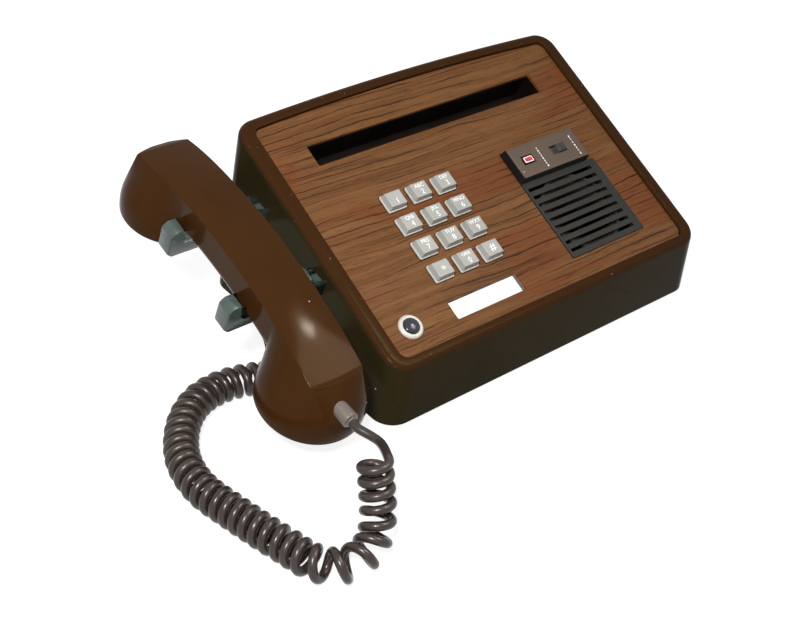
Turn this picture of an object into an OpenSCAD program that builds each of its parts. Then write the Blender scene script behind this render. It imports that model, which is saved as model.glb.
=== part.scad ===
// Desk telephone: a wedge-shaped case with a wood-grain panel, and a handset in clear hooks at its left side

/* [Case] */
// Width of the case across its rim
case_w = 250.5; // [240:0.5:265]
// Depth of the case across its rim, on the table
case_d = 158.3; // [152:0.1:175]
// Slope of the panel, in degrees
slope = 26.3; // [23:0.1:29]
// Height of the panel's front edge above the table
front_h = 42.2; // [39:0.1:50]
// Radius of the case's upright corners
corner_r = 13.4; // [10:0.1:16]
// Radius of the rounded edge along the rim
edge_r = 4.2; // [2:0.1:4.5]
// Wall of the case
wall = 3; // [2.5:0.25:4]
// How far the side walls lean out at the foot of the case
base_flare = 1.7; // [0:0.1:3]
// How far the back wall leans out at its foot
back_lean = 15; // [0:0.5:18]
// Bow of the back edge
back_bow = 2.8; // [0:0.1:4]
// Width of the rim beside the panel
rim_w = 9.85; // [8:0.05:12]
// Depth on the table of the rim in front of the panel
rim_front = 6.4; // [5:0.1:9]
// Depth on the table of the rim behind the panel
rim_back = 8.3; // [6:0.1:11]
// Height of the rim over the panel
rim_h = 2.2; // [1:0.1:3]
// Width of the ledge that carries the panel
ledge_w = 4; // [3:0.25:6]
// Thickness of that ledge
ledge_t = 2.5; // [2:0.25:4]
// Height of the feet under the case
foot_h = 1.6; // [1.4:0.1:4]
// Diameter of a foot
foot_d = 14; // [10:0.5:20]
// Thickness of the base plate
plate_t = 2.5; // [2:0.25:4]

/* [Panel] */
// Thickness of the panel
panel_t = 2; // [1.5:0.1:3]
// Radius of the panel's corners
panel_r = 5.5; // [3:0.25:8]
// Width of the card slot
slot_w = 178.8; // [140:0.2:190]
// Height of the card slot, up the slope
slot_l = 14.5; // [12:0.1:16]
// Middle of the card slot, up the slope from the panel's front edge
slot_v = 133.2; // [128:0.1:136]
// Depth of the card pocket under the panel's face
pocket_depth = 20; // [14:0.5:24]
// Width of the window for the number card
window_w = 52.7; // [40:0.1:60]
// Height of that window, up the slope
window_l = 11.7; // [9:0.1:14]
// Middle of the window across the panel
window_u = -42; // [-48:0.5:-38]
// Middle of the window up the slope
window_v = 14.5; // [12:0.1:16]

/* [Keys] */
// Key spacing across the panel
key_pitch_u = 19.05; // [17.5:0.05:20]
// Key spacing up the slope
key_pitch_v = 16.7; // [15.5:0.1:18]
// Middle of the star key across the panel
key_u = -60.8; // [-64:0.1:-58]
// Middle of the star key up the slope
key_v = 38.6; // [36:0.1:42]
// Width of a key's top
key_top_w = 10.9; // [9:0.1:11.5]
// Length of a key's top
key_top_l = 9.5; // [8:0.1:10]
// Width of a key's flange
key_flange_w = 13.4; // [12.5:0.1:15]
// Length of a key's flange
key_flange_l = 11.8; // [11:0.1:13]
// Height of a key over the panel
key_h = 5.2; // [4:0.1:7]
// Thickness of a key's flange
key_flange_t = 1; // [0.8:0.1:1.4]
// Travel of a key
key_travel = 2; // [1:0.1:2]

/* [Loudspeaker and switches] */
// Left edge of the grille across the panel
grille_u = 28.2; // [26:0.1:30]
// Front edge of the grille up the slope
grille_v = 14.2; // [12:0.1:17]
// Width of the grille
grille_w = 63; // [60:0.5:66]
// Length of the grille, up the slope
grille_l = 56; // [55:0.5:58]
// Number of louvre gaps
louvres = 9; // [5:1:9]
// Width of a louvre gap
louvre_gap = 2.3; // [2:0.1:3.2]
// Spacing of the louvre gaps
louvre_pitch = 5.72; // [5.2:0.02:5.8]
// Diameter of the loudspeaker
speaker_d = 54; // [45:0.5:54]
// Length of the switch block, up the slope
block_l = 24; // [22:0.1:26]
// Height of the switch block over the panel
block_h = 5.6; // [5:0.1:8]
// Lean of the switch block's sides
block_lean = 0.9; // [0.5:0.1:2]
// Width of the red button
red_w = 7.4; // [6:0.1:9]
// Length of the red button
red_l = 4.2; // [4:0.1:6]
// Travel of the red button
red_travel = 1.5; // [1:0.1:1.5]
// Length of the switch slot
switch_slot_w = 12.5; // [11:0.1:15]
// Width of the switch knob
knob_w = 7; // [5:0.1:8]
// Length of the switch knob, up the slope
knob_l = 5.6; // [4.5:0.1:7]

/* [Round button] */
// Middle of the round button across the panel
round_u = -98.7; // [-102:0.1:-95]
// Middle of the round button up the slope
round_v = 15.6; // [13:0.1:18]
// Outer diameter of its ring
ring_d = 15; // [13:0.1:16]
// Diameter of the button
round_d = 10; // [8:0.1:10.5]
// Travel of the round button
round_travel = 2; // [1:0.1:2.5]

/* [Handset] */
// Distance of the handset's middle from the case's side
handset_gap = 37; // [36:0.5:46]
// Middle of the handset's mouth end: depth from the case's front
handset_y = 3.5; // [0:0.5:8]
// Height of the handset's mouth end
handset_z = 54.7; // [53:0.1:62]
// Slope of the handset in its hooks, in degrees
tilt = 18; // [15:0.5:21]
// Length of the handle's flat back
handle_l = 173; // [168:0.5:180]
// Rise of the handle's arch
arch_h = 13; // [9:0.5:16]
// Width of the handle
handle_w = 33; // [28:0.5:34]
// Thickness of the handle
handle_t = 24; // [20:0.5:26]
// Radius of the ear cap and the mouth cap
cap_r = 31; // [29:0.25:32]
// Height of a cap's skirt
cap_h = 5; // [4:0.25:7]
// Radius of the receiver and the transmitter
capsule_r = 22; // [18:0.25:22]
// Height of the receiver and the transmitter
capsule_h = 8; // [6:0.25:8.5]

/* [Cradle] */
// Place of the front hook along the handset
hook_front = 63.5; // [58:0.5:66]
// Distance of the back hook from the handle's ear end
hook_ear = 52; // [50:0.5:60]
// Width of a hook along the handset
hook_w = 10; // [8:0.5:11]
// Thickness of a hook's arm
hook_t = 8; // [6:0.25:9]
// Thickness of a hook's fingers
finger_t = 10; // [7:0.5:12]
// Height of a hook's fingers over its seat
finger_h = 12; // [8:0.5:15]
// Diameter of the cradle's axle
axle_d = 4; // [3:0.25:5]
// Swing of the cradle as the handset is lifted, in degrees
cradle_swing = 3; // [1:0.25:3]

/* [Cord] */
// Diameter of the cord
cord_d = 5; // [4:0.1:5]
// Radius of the cord's curls, at the middle of the cord
curl_r = 7.1; // [6.8:0.1:7.3]
// Lean of the first curls, which hang more level than square to their line, in degrees
curl_lean = 20; // [0:1:25]

/* [Fits] */
// Gap around a moving piece
move_gap = 0.35; // [0.25:0.05:0.5]
// Gap around a fixed piece set into another
set_gap = 0.3; // [0.1:0.05:0.5]
// Radial gap of a pin in its running bore
run_gap = 0.06; // [0.02:0.01:0.1]

/* [Hidden] */
$fn = 48;
hull_fn = 32;
eps = 0.01;
far = 400;

KEYS = ["key_star", "key_0", "key_hash", "key_7", "key_8", "key_9",
        "key_4", "key_5", "key_6", "key_1", "key_2", "key_3"];

// Panel size and the places on it: y = 0 lies this far before the panel's front edge
panel_y = 5.5;
front_y = panel_y - rim_front;
back_y = front_y + case_d;
panel_w = case_w - 2 * (rim_w + set_gap);
panel_l = (case_d - rim_front - rim_back) / cos(slope);
panel_bow = back_bow / cos(slope);
key_stem_w = 6;
key_stem_l = 5;
key_stem_depth = 8.5;
key_lift = 0.2;
frame_t = 4;
board_t = 1.6;
contact_t = 0.5;
keypad_board_h = -panel_t - key_stem_depth - key_travel - contact_t;
block_w = grille_w - 5;
flange_t = 1.5;
flange_w = 3;
block_v = grille_v + grille_l + block_l / 2;
block_u = grille_u + block_w / 2;
speaker_u = grille_u + grille_w / 2;
speaker_v = grille_v + grille_l / 2;
red_u = grille_u + 12.1;
switch_u = grille_u + 38;
switch_travel = switch_slot_w - knob_w - 2 * move_gap;
switch_depth = 3;
grille_rise = 0.5;
grille_t = panel_t + flange_t + grille_rise;

// Table level, case floor and inside
floor_z = foot_h + plate_t;
boss_h = 22;
boss_r = 4;
screw_r = 1.5;
screw_inset = 14;
foot_inset = 24;
board_z = floor_z + 6;

// Handset and cradle places, in the handset's own frame: x across, y from mouth to ear, z up
handset_x = -(case_w / 2 + handset_gap);
hook_back = handle_l - hook_ear;
mouth = [11, -35, -2];
ear = [handle_l - 21.5, -31, -8];
arch_r = (pow(handle_l / 2, 2) + arch_h * arch_h) / (2 * arch_h);
function arch(s) = sqrt(arch_r * arch_r - pow(s - handle_l / 2, 2)) - arch_r + arch_h;
function seat(s) = min(arch(s - hook_w / 2), arch(s + hook_w / 2)) - handle_t - set_gap;
finger_gap = 1.5;
cup_gap = 2.5;
axle_x = handset_gap + wall + 20.75;
axle_z = (seat(hook_front) + seat(hook_back)) / 2 - hook_t / 2;
bar_x = axle_x - 7.5;
bar_w = 15;
bar_h = 12;
ear_plate = 3;
ear_gap = 1;
bar_y0 = hook_front - hook_w / 2 - 6;
bar_y1 = hook_back + hook_w / 2 + 6;

// Sockets in the walls
grommet_y = 61;
jack_x = 60;
jack_z = 20;
jack_w = 14;
jack_h = 14;
jack_depth = 16;
jack_y = back_at(jack_x, jack_z + jack_h / 2);

// Origin: under the middle of the whole object, at table level
function side_y(c) = handset_y + c[0] * cos(tilt) - c[1] * sin(tilt) - cap_h * sin(tilt + c[2]);
origin_x = (case_w / 2 + base_flare + handset_x - cap_r) / 2;
origin_y = (side_y(mouth) + side_y(ear)) / 2;

// Colours
brown = [0.24, 0.15, 0.09];
walnut = [0.42, 0.25, 0.15];
black = [0.07, 0.07, 0.07];
grey = [0.62, 0.62, 0.6];
clear = [0.75, 0.82, 0.8, 0.5];
steel = [0.7, 0.7, 0.72];
green = [0.12, 0.35, 0.2];
white = [0.95, 0.94, 0.9];

// Moves from the case's own frame, x = 0 mid width and y = 0 at its front, to the object's origin
module in_frame() {
    translate([-origin_x, -origin_y, 0]) children();
}

// Places children on the panel: u across, v up the slope from its front edge, h out of its face
module on_panel(u = 0, v = 0, h = 0) {
    translate([0, panel_y, front_h]) rotate([slope, 0, 0]) translate([u, v, h]) children();
}

// Places children in the handset's frame
module on_handset() {
    translate([handset_x, handset_y, handset_z]) rotate([tilt, 0, 0]) children();
}

// Places children at a cap: its face down, z up into the shell
module at_cap(c) {
    translate([0, c[0], c[1]]) rotate([c[2], 0, 0]) children();
}

module rounded_rect(w, d, r) {
    square([w - 2 * r, d], center = true);
    square([w, d - 2 * r], center = true);
    for (sx = [-1, 1], sy = [-1, 1])
        translate([sx * (w / 2 - r), sy * (d / 2 - r)]) circle(r);
}

// Rounded rectangle whose back edge bows out between its corners
module bowed_rect(w, d, r, bow) {
    half = w / 2 - r;
    corners = [[1, 1, 0], [-1, 1, 90], [-1, -1, 180], [1, -1, 270]];
    polygon([for (c = corners) each concat(
        [for (a = [0:15:90]) [c[0] * half + r * cos(c[2] + a), c[1] * (d / 2 - r) + r * sin(c[2] + a)]],
        c[2] == 0 ? [for (i = [7:-1:-7]) let(q = i / 8) [q * half, d / 2 + bow * (1 - q * q)]] : [])]);
}

module box(w, d, h, r = 1) {
    linear_extrude(h) rounded_rect(w, d, r);
}

// Block with four sloping sides
module frustum(base, top, h) {
    intersection() {
        rotate([90, 0, 0]) linear_extrude(base.y, center = true)
            polygon([[-base.x / 2, 0], [base.x / 2, 0], [top.x / 2, h], [-top.x / 2, h]]);
        rotate([90, 0, 90]) linear_extrude(base.x, center = true)
            polygon([[-base.y / 2, 0], [base.y / 2, 0], [top.y / 2, h], [-top.y / 2, h]]);
    }
}

// Closed skin over a row of rings with the same number of points
module skin(rings) {
    n = len(rings[0]);
    last = (len(rings) - 1) * n;
    walls = [for (i = [0:len(rings) - 2]) for (k = [0:n - 1])
             let(a = i * n + k, b = i * n + (k + 1) % n) each [[a, b, a + n], [b, b + n, a + n]]];
    ends = [for (k = [1:n - 2]) each [[0, k + 1, k], [last, last + k, last + k + 1]]];
    polyhedron([for (r = rings) each r], concat(walls, ends), convexity = 10);
}

// Height of the panel's plane over a depth, and the back wall's depth at a place across it and a height
function slope_z(y) = front_h + (y - panel_y) * tan(slope);
function bow_at(x) = back_bow * max(0, 1 - pow(x / (case_w / 2 - corner_r), 2));
function back_at(x, z) = back_y + bow_at(x) + back_lean * (1 - (z - foot_h) / (slope_z(back_y) - foot_h));

// Raises a flat shape to a plane parallel to the panel, upright over its plan
module on_slope(h) {
    multmatrix([[1, 0, 0, 0], [0, 1, 0, 0], [0, tan(slope), 1, slope_z(0) + h / cos(slope)]]) children();
}

module rim_plan(inset) {
    translate([0, front_y + case_d / 2])
        bowed_rect(case_w - 2 * inset, case_d - 2 * inset, corner_r - inset, back_bow);
}

module foot_plan(inset) {
    d = case_d + back_lean;
    translate([0, front_y + d / 2])
        bowed_rect(case_w + 2 * (base_flare - inset), d - 2 * inset, corner_r - inset, back_bow);
}

// Rounded wedge: four tilted rings and a row of balls along the rim, and a flat shape at the foot
module case_body() {
    ring_y = (corner_r - edge_r) * cos(slope) + edge_r;
    rise = (rim_h - edge_r) / cos(slope);
    hull() {
        for (sx = [-1, 1], y = [front_y + ring_y, back_y - ring_y])
            translate([sx * (case_w / 2 - corner_r), y, slope_z(y) + rise])
                rotate([slope, 0, 0]) rotate_extrude($fn = hull_fn)
                    translate([corner_r - edge_r, 0]) circle(edge_r, $fn = hull_fn / 2);
        for (i = [-3:3])
            let(x = i / 4 * (case_w / 2 - corner_r), y = back_y - edge_r + bow_at(x))
                translate([x, y, slope_z(y) + rise]) sphere(edge_r, $fn = hull_fn / 2);
        translate([0, 0, foot_h]) linear_extrude(eps) foot_plan(0);
    }
}

// Room inside the walls
module case_room() {
    hull() {
        translate([0, 0, foot_h - eps]) linear_extrude(eps) foot_plan(wall);
        on_slope(-panel_t - ledge_t) linear_extrude(eps) rim_plan(wall);
    }
}

module screw_places() {
    for (sx = [-1, 1], y = [front_y + screw_inset, back_y + back_lean - screw_inset])
        translate([sx * (case_w / 2 + base_flare - wall - boss_r + 1), y, 0]) children();
}

module foot_places() {
    for (sx = [-1, 1], y = [front_y + foot_inset, back_y + back_lean - foot_inset])
        translate([sx * (case_w / 2 - foot_inset), y, 0]) children();
}

// Slot in the side wall for one arm of the cradle
module arm_slot(s) {
    swing = (axle_x - handset_gap + base_flare) * sin(cradle_swing);
    on_handset() translate([handset_gap - 2, s - hook_w / 2 - move_gap, seat(s) - hook_t - move_gap])
        cube([wall + base_flare + 4, hook_w + 2 * move_gap, hook_t + swing + 3 * move_gap]);
}

module grommet_place() {
    translate([-case_w / 2 - base_flare + 0.2, grommet_y, cord_z]) rotate([0, 90, 0]) children();
}

module housing() {
    color(brown) {
        difference() {
            case_body();
            case_room();
            on_panel(0, panel_l / 2, -panel_t) linear_extrude(far)
                bowed_rect(panel_w + 2 * set_gap, panel_l + 2 * set_gap, panel_r + set_gap, panel_bow);
            on_panel(0, panel_l / 2, -panel_t - ledge_t - 1) linear_extrude(far)
                bowed_rect(panel_w - 2 * ledge_w, panel_l - 2 * ledge_w, panel_r, panel_bow);
            arm_slot(hook_front);
            arm_slot(hook_back);
            grommet_place() cylinder(d = grommet_stem_d + 2 * set_gap, h = 4 * wall, center = true);
            translate([jack_x, jack_y, jack_z])
                cube([jack_w + 2 * set_gap, 8 * wall, jack_h + 2 * set_gap], center = true);
        }
        screw_places() translate([0, 0, floor_z]) difference() {
            cylinder(r = boss_r, h = boss_h);
            translate([0, 0, -eps]) cylinder(r = screw_r + run_gap, h = boss_h - 4);
        }
    }
}

module base_plate() {
    color(black) difference() {
        union() {
            translate([0, 0, foot_h]) linear_extrude(plate_t) foot_plan(wall + 2 * set_gap);
            for (x = board_posts_x, y = board_posts_y)
                translate([x, y, foot_h]) cylinder(d = 6, h = board_z - foot_h);
        }
        screw_places() cylinder(r = screw_r + set_gap, h = far, center = true);
        foot_places() cylinder(d = foot_d / 2 + 0.1, h = far, center = true);
        for (i = [-4:4])
            translate([i * 9, back_y - 33, 0]) linear_extrude(far) rounded_rect(3, 30, 1.4);
    }
}

// Turned foot with a stem pressed through the base plate
module rubber_feet() {
    color([0.12, 0.12, 0.12]) foot_places() rotate_extrude()
        polygon([[0, 0], [foot_d / 2 - 1, 0], [foot_d / 2, foot_h], [foot_d / 4, foot_h],
                 [foot_d / 4, floor_z], [0, floor_z]]);
}

module base_screws() {
    color(steel) screw_places() {
        translate([0, 0, foot_h - 1.2]) cylinder(r = 3, h = 1.2);
        translate([0, 0, foot_h - eps]) cylinder(r = screw_r, h = boss_h - 4);
    }
}

module faceplate() {
    color(walnut) difference() {
        on_panel(0, panel_l / 2, -panel_t) linear_extrude(panel_t)
            bowed_rect(panel_w, panel_l, panel_r, panel_bow);
        on_panel(0, slot_v, -far / 2) box(slot_w, slot_l, far, 1);
        on_panel(window_u, window_v, -far / 2) box(window_w, window_l, far, 0.8);
        on_panel(speaker_u, speaker_v, -far / 2)
            box(grille_w + 2 * set_gap, grille_l + 2 * set_gap, far, 1);
        on_panel(block_u, block_v, -far / 2) box(block_w + 2 * set_gap, block_l + 2 * set_gap, far, 1);
        on_panel(round_u, round_v, -far / 2) cylinder(d = ring_neck_d + 2 * set_gap, h = far);
        for (k = [0:11])
            on_panel(key_place(k)[0], key_place(k)[1], -far / 2)
                box(key_flange_w + 2 * move_gap, key_flange_l + 2 * move_gap, far, 1);
    }
}

// Open trough that hangs under the card slot by its flange
module card_pocket() {
    t = 1.5;
    color(black) difference() {
        union() {
            on_panel(0, slot_v, -pocket_depth - t)
                box(slot_w + 2 * t, slot_l + 2 * t, pocket_depth + t - panel_t, 2);
            on_panel(0, slot_v, -panel_t - t) box(slot_w + 8, slot_l + 8, t, 2);
        }
        on_panel(0, slot_v, -pocket_depth) box(slot_w, slot_l, far, 1);
    }
}

module card_tray() {
    color(black) on_panel(window_u, window_v, -panel_t - 1.5) box(window_w + 6, window_l + 5, 1.5, 1);
}

module number_card() {
    color(white) on_panel(window_u, window_v, -panel_t)
        box(window_w - 2 * set_gap, window_l - 2 * set_gap, 0.6, 0.6);
}

module card_lens() {
    color(clear) on_panel(window_u, window_v, -panel_t + 0.6)
        box(window_w - 2 * set_gap, window_l - 2 * set_gap, panel_t - 1, 0.6);
}

function key_place(k) = [key_u + (k % 3) * key_pitch_u, key_v + floor(k / 3) * key_pitch_v];

// Guide plate under the panel, with a square guide for each key and four legs down to the board
module keypad_frame() {
    mid_u = key_u + key_pitch_u;
    mid_v = key_v + 1.5 * key_pitch_v;
    w = 3 * key_pitch_u + 6;
    l = 4 * key_pitch_v + 6;
    leg = 4;
    color(black) {
        difference() {
            on_panel(mid_u, mid_v, -panel_t - frame_t) box(w, l, frame_t, 2);
            for (k = [0:11])
                on_panel(key_place(k)[0], key_place(k)[1], -far / 2)
                    box(key_stem_w + 2 * move_gap, key_stem_l + 2 * move_gap, far, 0.5);
        }
        for (sx = [-1, 1], sy = [-1, 1])
            on_panel(mid_u + sx * (w - leg) / 2, mid_v + sy * (l - leg) / 2, keypad_board_h)
                translate([-leg / 2, -leg / 2, 0]) cube([leg, leg, -keypad_board_h - panel_t - frame_t]);
    }
}

module keypad_board() {
    color(green) {
        on_panel(key_u + key_pitch_u, key_v + 1.5 * key_pitch_v, keypad_board_h - board_t)
            box(3 * key_pitch_u + 6, 4 * key_pitch_v + 6, board_t, 2);
        for (k = [0:11])
            on_panel(key_place(k)[0], key_place(k)[1], keypad_board_h) cylinder(d = 6, h = contact_t - 0.2);
    }
}

// Key with a thin flange, a tapered cap and a square stem
module key_cap(k) {
    h = key_h - key_lift - key_flange_t;
    color(grey) on_panel(key_place(k)[0], key_place(k)[1], 0) {
        translate([0, 0, key_lift]) box(key_flange_w, key_flange_l, key_flange_t, 1);
        translate([0, 0, key_lift + key_flange_t])
            frustum([key_top_w + 1.4, key_top_l + 1.2], [key_top_w, key_top_l], h);
        translate([0, 0, -panel_t - key_stem_depth + key_lift])
            box(key_stem_w, key_stem_l, panel_t + key_stem_depth, 0.5);
    }
}

// Louvred plate: each gap is a slanting cut
module grille() {
    slant = 1.6;
    gap_w = grille_w - 8;
    color(black) difference() {
        union() {
            on_panel(speaker_u, speaker_v, -panel_t - flange_t)
                box(grille_w, grille_l, panel_t + flange_t + grille_rise, 1);
            on_panel(speaker_u, speaker_v, -panel_t - flange_t)
                box(grille_w + 2 * flange_w, grille_l, flange_t, 1);
        }
        for (i = [0:louvres - 1])
            on_panel(grille_u + 2, grille_v + 4.8 + i * louvre_pitch, grille_rise)
                rotate([90, 0, 90]) linear_extrude(gap_w)
                    polygon([[-louvre_gap / 2, eps], [louvre_gap / 2, eps],
                             [louvre_gap / 2 + slant, -grille_t - eps],
                             [-louvre_gap / 2 + slant, -grille_t - eps]]);
    }
}

speaker_h = grille_rise - grille_t;
magnet_d = 30;
cone_depth = 11;
basket_t = 1.2;

// Pressed basket: a flange, a sloping wall with windows and a back plate
module speaker_frame() {
    r = speaker_d / 2;
    back_r = magnet_d / 2 + 1;
    color(steel) on_panel(speaker_u, speaker_v, speaker_h) difference() {
        rotate_extrude() polygon([
            [r - 2, 0], [r, 0], [r, -basket_t - 1], [r - 3, -basket_t - 1],
            [back_r, -cone_depth - basket_t - 1], [0, -cone_depth - basket_t - 1],
            [0, -cone_depth - 1], [back_r - basket_t, -cone_depth - 1], [r - 4, -1.4], [r - 2, -1.4]]);
        for (a = [45:90:315])
            rotate(a) translate([(r + back_r) / 2, 0, -cone_depth / 2 - 1])
                cube([(r - back_r) * 0.4, 9, cone_depth * 2], center = true);
    }
}

module speaker_cone() {
    r = speaker_d / 2 - 2 - set_gap;
    color([0.45, 0.28, 0.14]) on_panel(speaker_u, speaker_v, speaker_h) rotate_extrude()
        polygon([[r, -0.7], [r, -1.4], [r - 3, -1.4], [8, -cone_depth + 0.4], [0, -cone_depth + 1.6],
                 [0, -cone_depth + 2.6], [8, -cone_depth + 1.4], [r - 3, -0.7]]);
}

module speaker_magnet() {
    color([0.25, 0.25, 0.26]) on_panel(speaker_u, speaker_v, speaker_h - cone_depth - basket_t - 1 - 10)
        cylinder(d = magnet_d, h = 10);
}

// Raised block behind the grille, with a well for the red button and a slot for the switch
module switch_block() {
    color([0.27, 0.22, 0.17]) on_panel(block_u, block_v, 0) difference() {
        union() {
            translate([0, 0, -panel_t - flange_t]) box(block_w, block_l, panel_t + flange_t + eps, 0.8);
            translate([0, 0, -panel_t - flange_t]) box(block_w + 2 * flange_w, block_l, flange_t, 0.8);
            frustum([block_w, block_l], [block_w - 2 * block_lean, block_l - 2 * block_lean], block_h);
        }
        translate([red_u - block_u, 0, -far / 2])
            box(red_w + 2 * move_gap, red_l + 2 * move_gap, far, 0.4);
        translate([red_u - block_u, 0, block_h - 1]) box(red_w + 2.6, red_l + 2.2, far, 0.4);
        translate([switch_u - block_u, 0, block_h - switch_depth])
            box(switch_slot_w, knob_l + 2 * move_gap, far, 0.3);
    }
}

module red_button() {
    rise = 0.5;
    color([0.75, 0.1, 0.08]) on_panel(red_u, block_v, -panel_t + red_travel)
        box(red_w, red_l, block_h + rise + panel_t - red_travel, 0.4);
}

// Knob at the right end of its slot, with grip grooves
module slide_knob() {
    color(black) on_panel(switch_u + switch_travel / 2, block_v, block_h - switch_depth + 0.25) difference() {
        frustum([knob_w, knob_l], [knob_w - 1, knob_l - 0.4], switch_depth + 1.8);
        for (i = [-1:1])
            translate([i * 1.6, 0, switch_depth + 1.8]) cube([0.6, far, 1], center = true);
    }
}

// Small board with two switch bodies, held up against the block
module option_switches() {
    color([0.15, 0.15, 0.17]) on_panel(block_u, block_v, 0) {
        translate([0, 0, -panel_t - flange_t - board_t]) box(block_w, block_l - 4, board_t, 1);
        for (u = [red_u, switch_u])
            translate([u - block_u, 0, -panel_t - flange_t - 7.6]) box(12, 10, 6.1, 0.5);
    }
}

ring_neck_d = 12;
ring_h = 1.8;

// Turned ring with a neck through the panel
module button_ring() {
    bore = round_d / 2 + move_gap;
    color(white) on_panel(round_u, round_v, 0) rotate_extrude() difference() {
        union() {
            translate([bore, -panel_t]) square([ring_neck_d / 2 - bore, panel_t + eps]);
            polygon([[bore, 0], [ring_d / 2, 0], [ring_d / 2, ring_h * 0.4], [ring_d / 2 - 1.1, ring_h],
                     [bore + 0.4, ring_h], [bore, ring_h - 0.4]]);
        }
    }
}

module round_button() {
    crown = 1.4;
    crown_r = (pow(round_d / 2, 2) + crown * crown) / (2 * crown);
    top = ring_h + 1.9;
    color([0.05, 0.06, 0.09]) on_panel(round_u, round_v, 0) intersection() {
        translate([0, 0, -panel_t - 4]) cylinder(d = round_d, h = panel_t + 4 + top);
        translate([0, 0, top - crown_r]) sphere(crown_r, $fn = 64);
    }
}

// Switch body behind the round button, clamped to the panel's back
module button_switch() {
    well = round_travel + 4 + move_gap;
    color([0.18, 0.18, 0.2]) on_panel(round_u, round_v, -panel_t) rotate_extrude()
        polygon([[round_d / 2 + move_gap, 0], [ring_d / 2, 0], [ring_d / 2, -3], [ring_neck_d / 2, -3],
                 [ring_neck_d / 2, -well - 5], [0, -well - 5], [0, -well], [round_d / 2 + move_gap, -well]]);
}

board_size = [152, 84];
board_mid = [0, front_y + 60.9];
board_posts_x = [-board_size.x / 2 + 6, board_size.x / 2 - 6];
board_posts_y = [board_mid.y - board_size.y / 2 + 6, board_mid.y + board_size.y / 2 - 6];
ringer_r = 18;
ringer_h = 14;

module main_board() {
    color(green) translate([board_mid.x, board_mid.y, board_z]) box(board_size.x, board_size.y, board_t, 2);
}

// Transformer, capacitors and integrated circuits standing on the board
module circuit_parts() {
    color([0.2, 0.2, 0.22]) translate([board_mid.x, board_mid.y, board_z + board_t]) {
        translate([-52, 24, 0]) box(30, 24, 22, 1);
        for (i = [0:2])
            translate([-20 + i * 14, 28, 0]) cylinder(d = 10, h = 16);
        for (i = [0:3])
            translate([-50 + i * 24, -10, 0]) box(20, 8, 4, 0.5);
        for (i = [0:2])
            translate([26 + i * 16, 26, 0]) box(12, 10, 9, 0.5);
    }
}

module ringer() {
    color([0.3, 0.3, 0.32]) translate([case_w / 2 - ringer_r - 23, back_y - ringer_r - 21, floor_z])
        rotate_extrude()
        polygon([[0, 0], [ringer_r, 0], [ringer_r, ringer_h - 2], [ringer_r - 2, ringer_h], [6, ringer_h],
                 [6, ringer_h - 2], [0, ringer_h - 2]]);
}

// Modular socket in the back wall
module line_jack() {
    color(black) translate([jack_x, jack_y, jack_z]) difference() {
        union() {
            translate([-jack_w / 2, -jack_depth, -jack_h / 2]) cube([jack_w, jack_depth, jack_h]);
            translate([-jack_w / 2 - 3, -wall - 2.8, -jack_h / 2 - 3]) cube([jack_w + 6, 2, jack_h + 6]);
        }
        translate([-5, -11, -3]) cube([10, 11 + eps, 7]);
        translate([-2, -11, -5]) cube([4, 11 + eps, 3]);
    }
}

cord_z = curl_r + cord_d / 2 + 0.2;
grommet_stem_d = 7;
grommet_flange = 1.5;

// Grommet with a flange each side of the wall
module cord_grommet() {
    color(black) grommet_place() rotate_extrude()
        polygon([[cord_d / 2 + 0.1, -grommet_flange - 0.4], [grommet_stem_d / 2 + 1.5, -grommet_flange - 0.4],
                 [grommet_stem_d / 2 + 2.5, -0.4], [grommet_stem_d / 2, -0.4],
                 [grommet_stem_d / 2, wall], [grommet_stem_d / 2 + 2, wall],
                 [grommet_stem_d / 2 + 1.4, wall + 1.2], [cord_d / 2 + 0.1, wall + 1.2]]);
}

// Folded bracket: a foot, an upright web and two ears for the axle
module cradle_bracket() {
    web_x = bar_x + bar_w + 0.6;
    web_t = 1.6;
    ears = [bar_y0 - ear_gap - ear_plate, bar_y1 + ear_gap];
    y0 = handset_y + ears[0] * cos(tilt) - axle_z * sin(tilt);
    y1 = handset_y + (ears[1] + ear_plate) * cos(tilt) - axle_z * sin(tilt);
    color(steel) difference() {
        union() {
            on_handset() for (y = ears)
                translate([axle_x - 5, y, axle_z - 6]) cube([web_x - axle_x + 5 + eps, ear_plate, 12]);
            intersection() {
                translate([handset_x + web_x, y0, floor_z]) cube([web_t, y1 - y0, far]);
                on_handset() translate([-far, -far, axle_z + 6 - 2 * far]) cube(2 * far);
            }
            translate([handset_x + web_x, y0, floor_z]) cube([14, y1 - y0, 2]);
        }
        on_handset() translate([axle_x, 0, axle_z]) rotate([-90, 0, 0])
            cylinder(d = axle_d + 0.04, h = far);
    }
}

module cradle_axle() {
    color(steel) on_handset() translate([axle_x, bar_y0 - ear_gap - ear_plate - 1.5, axle_z])
        rotate([-90, 0, 0])
        cylinder(d = axle_d, h = bar_y1 - bar_y0 + 2 * (ear_gap + ear_plate) + 3);
}

// Rocking bar on the axle that carries both hooks
module cradle_bar() {
    color(black) on_handset() difference() {
        translate([bar_x, bar_y0, axle_z - bar_h / 2]) cube([bar_w, bar_y1 - bar_y0, bar_h]);
        translate([axle_x, 0, axle_z]) rotate([-90, 0, 0]) cylinder(r = axle_d / 2 + run_gap, h = far);
        for (s = [hook_front, hook_back])
            translate([bar_x - eps, s - hook_w / 2, seat(s) - hook_t]) cube([3, hook_w, hook_t]);
    }
}

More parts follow.
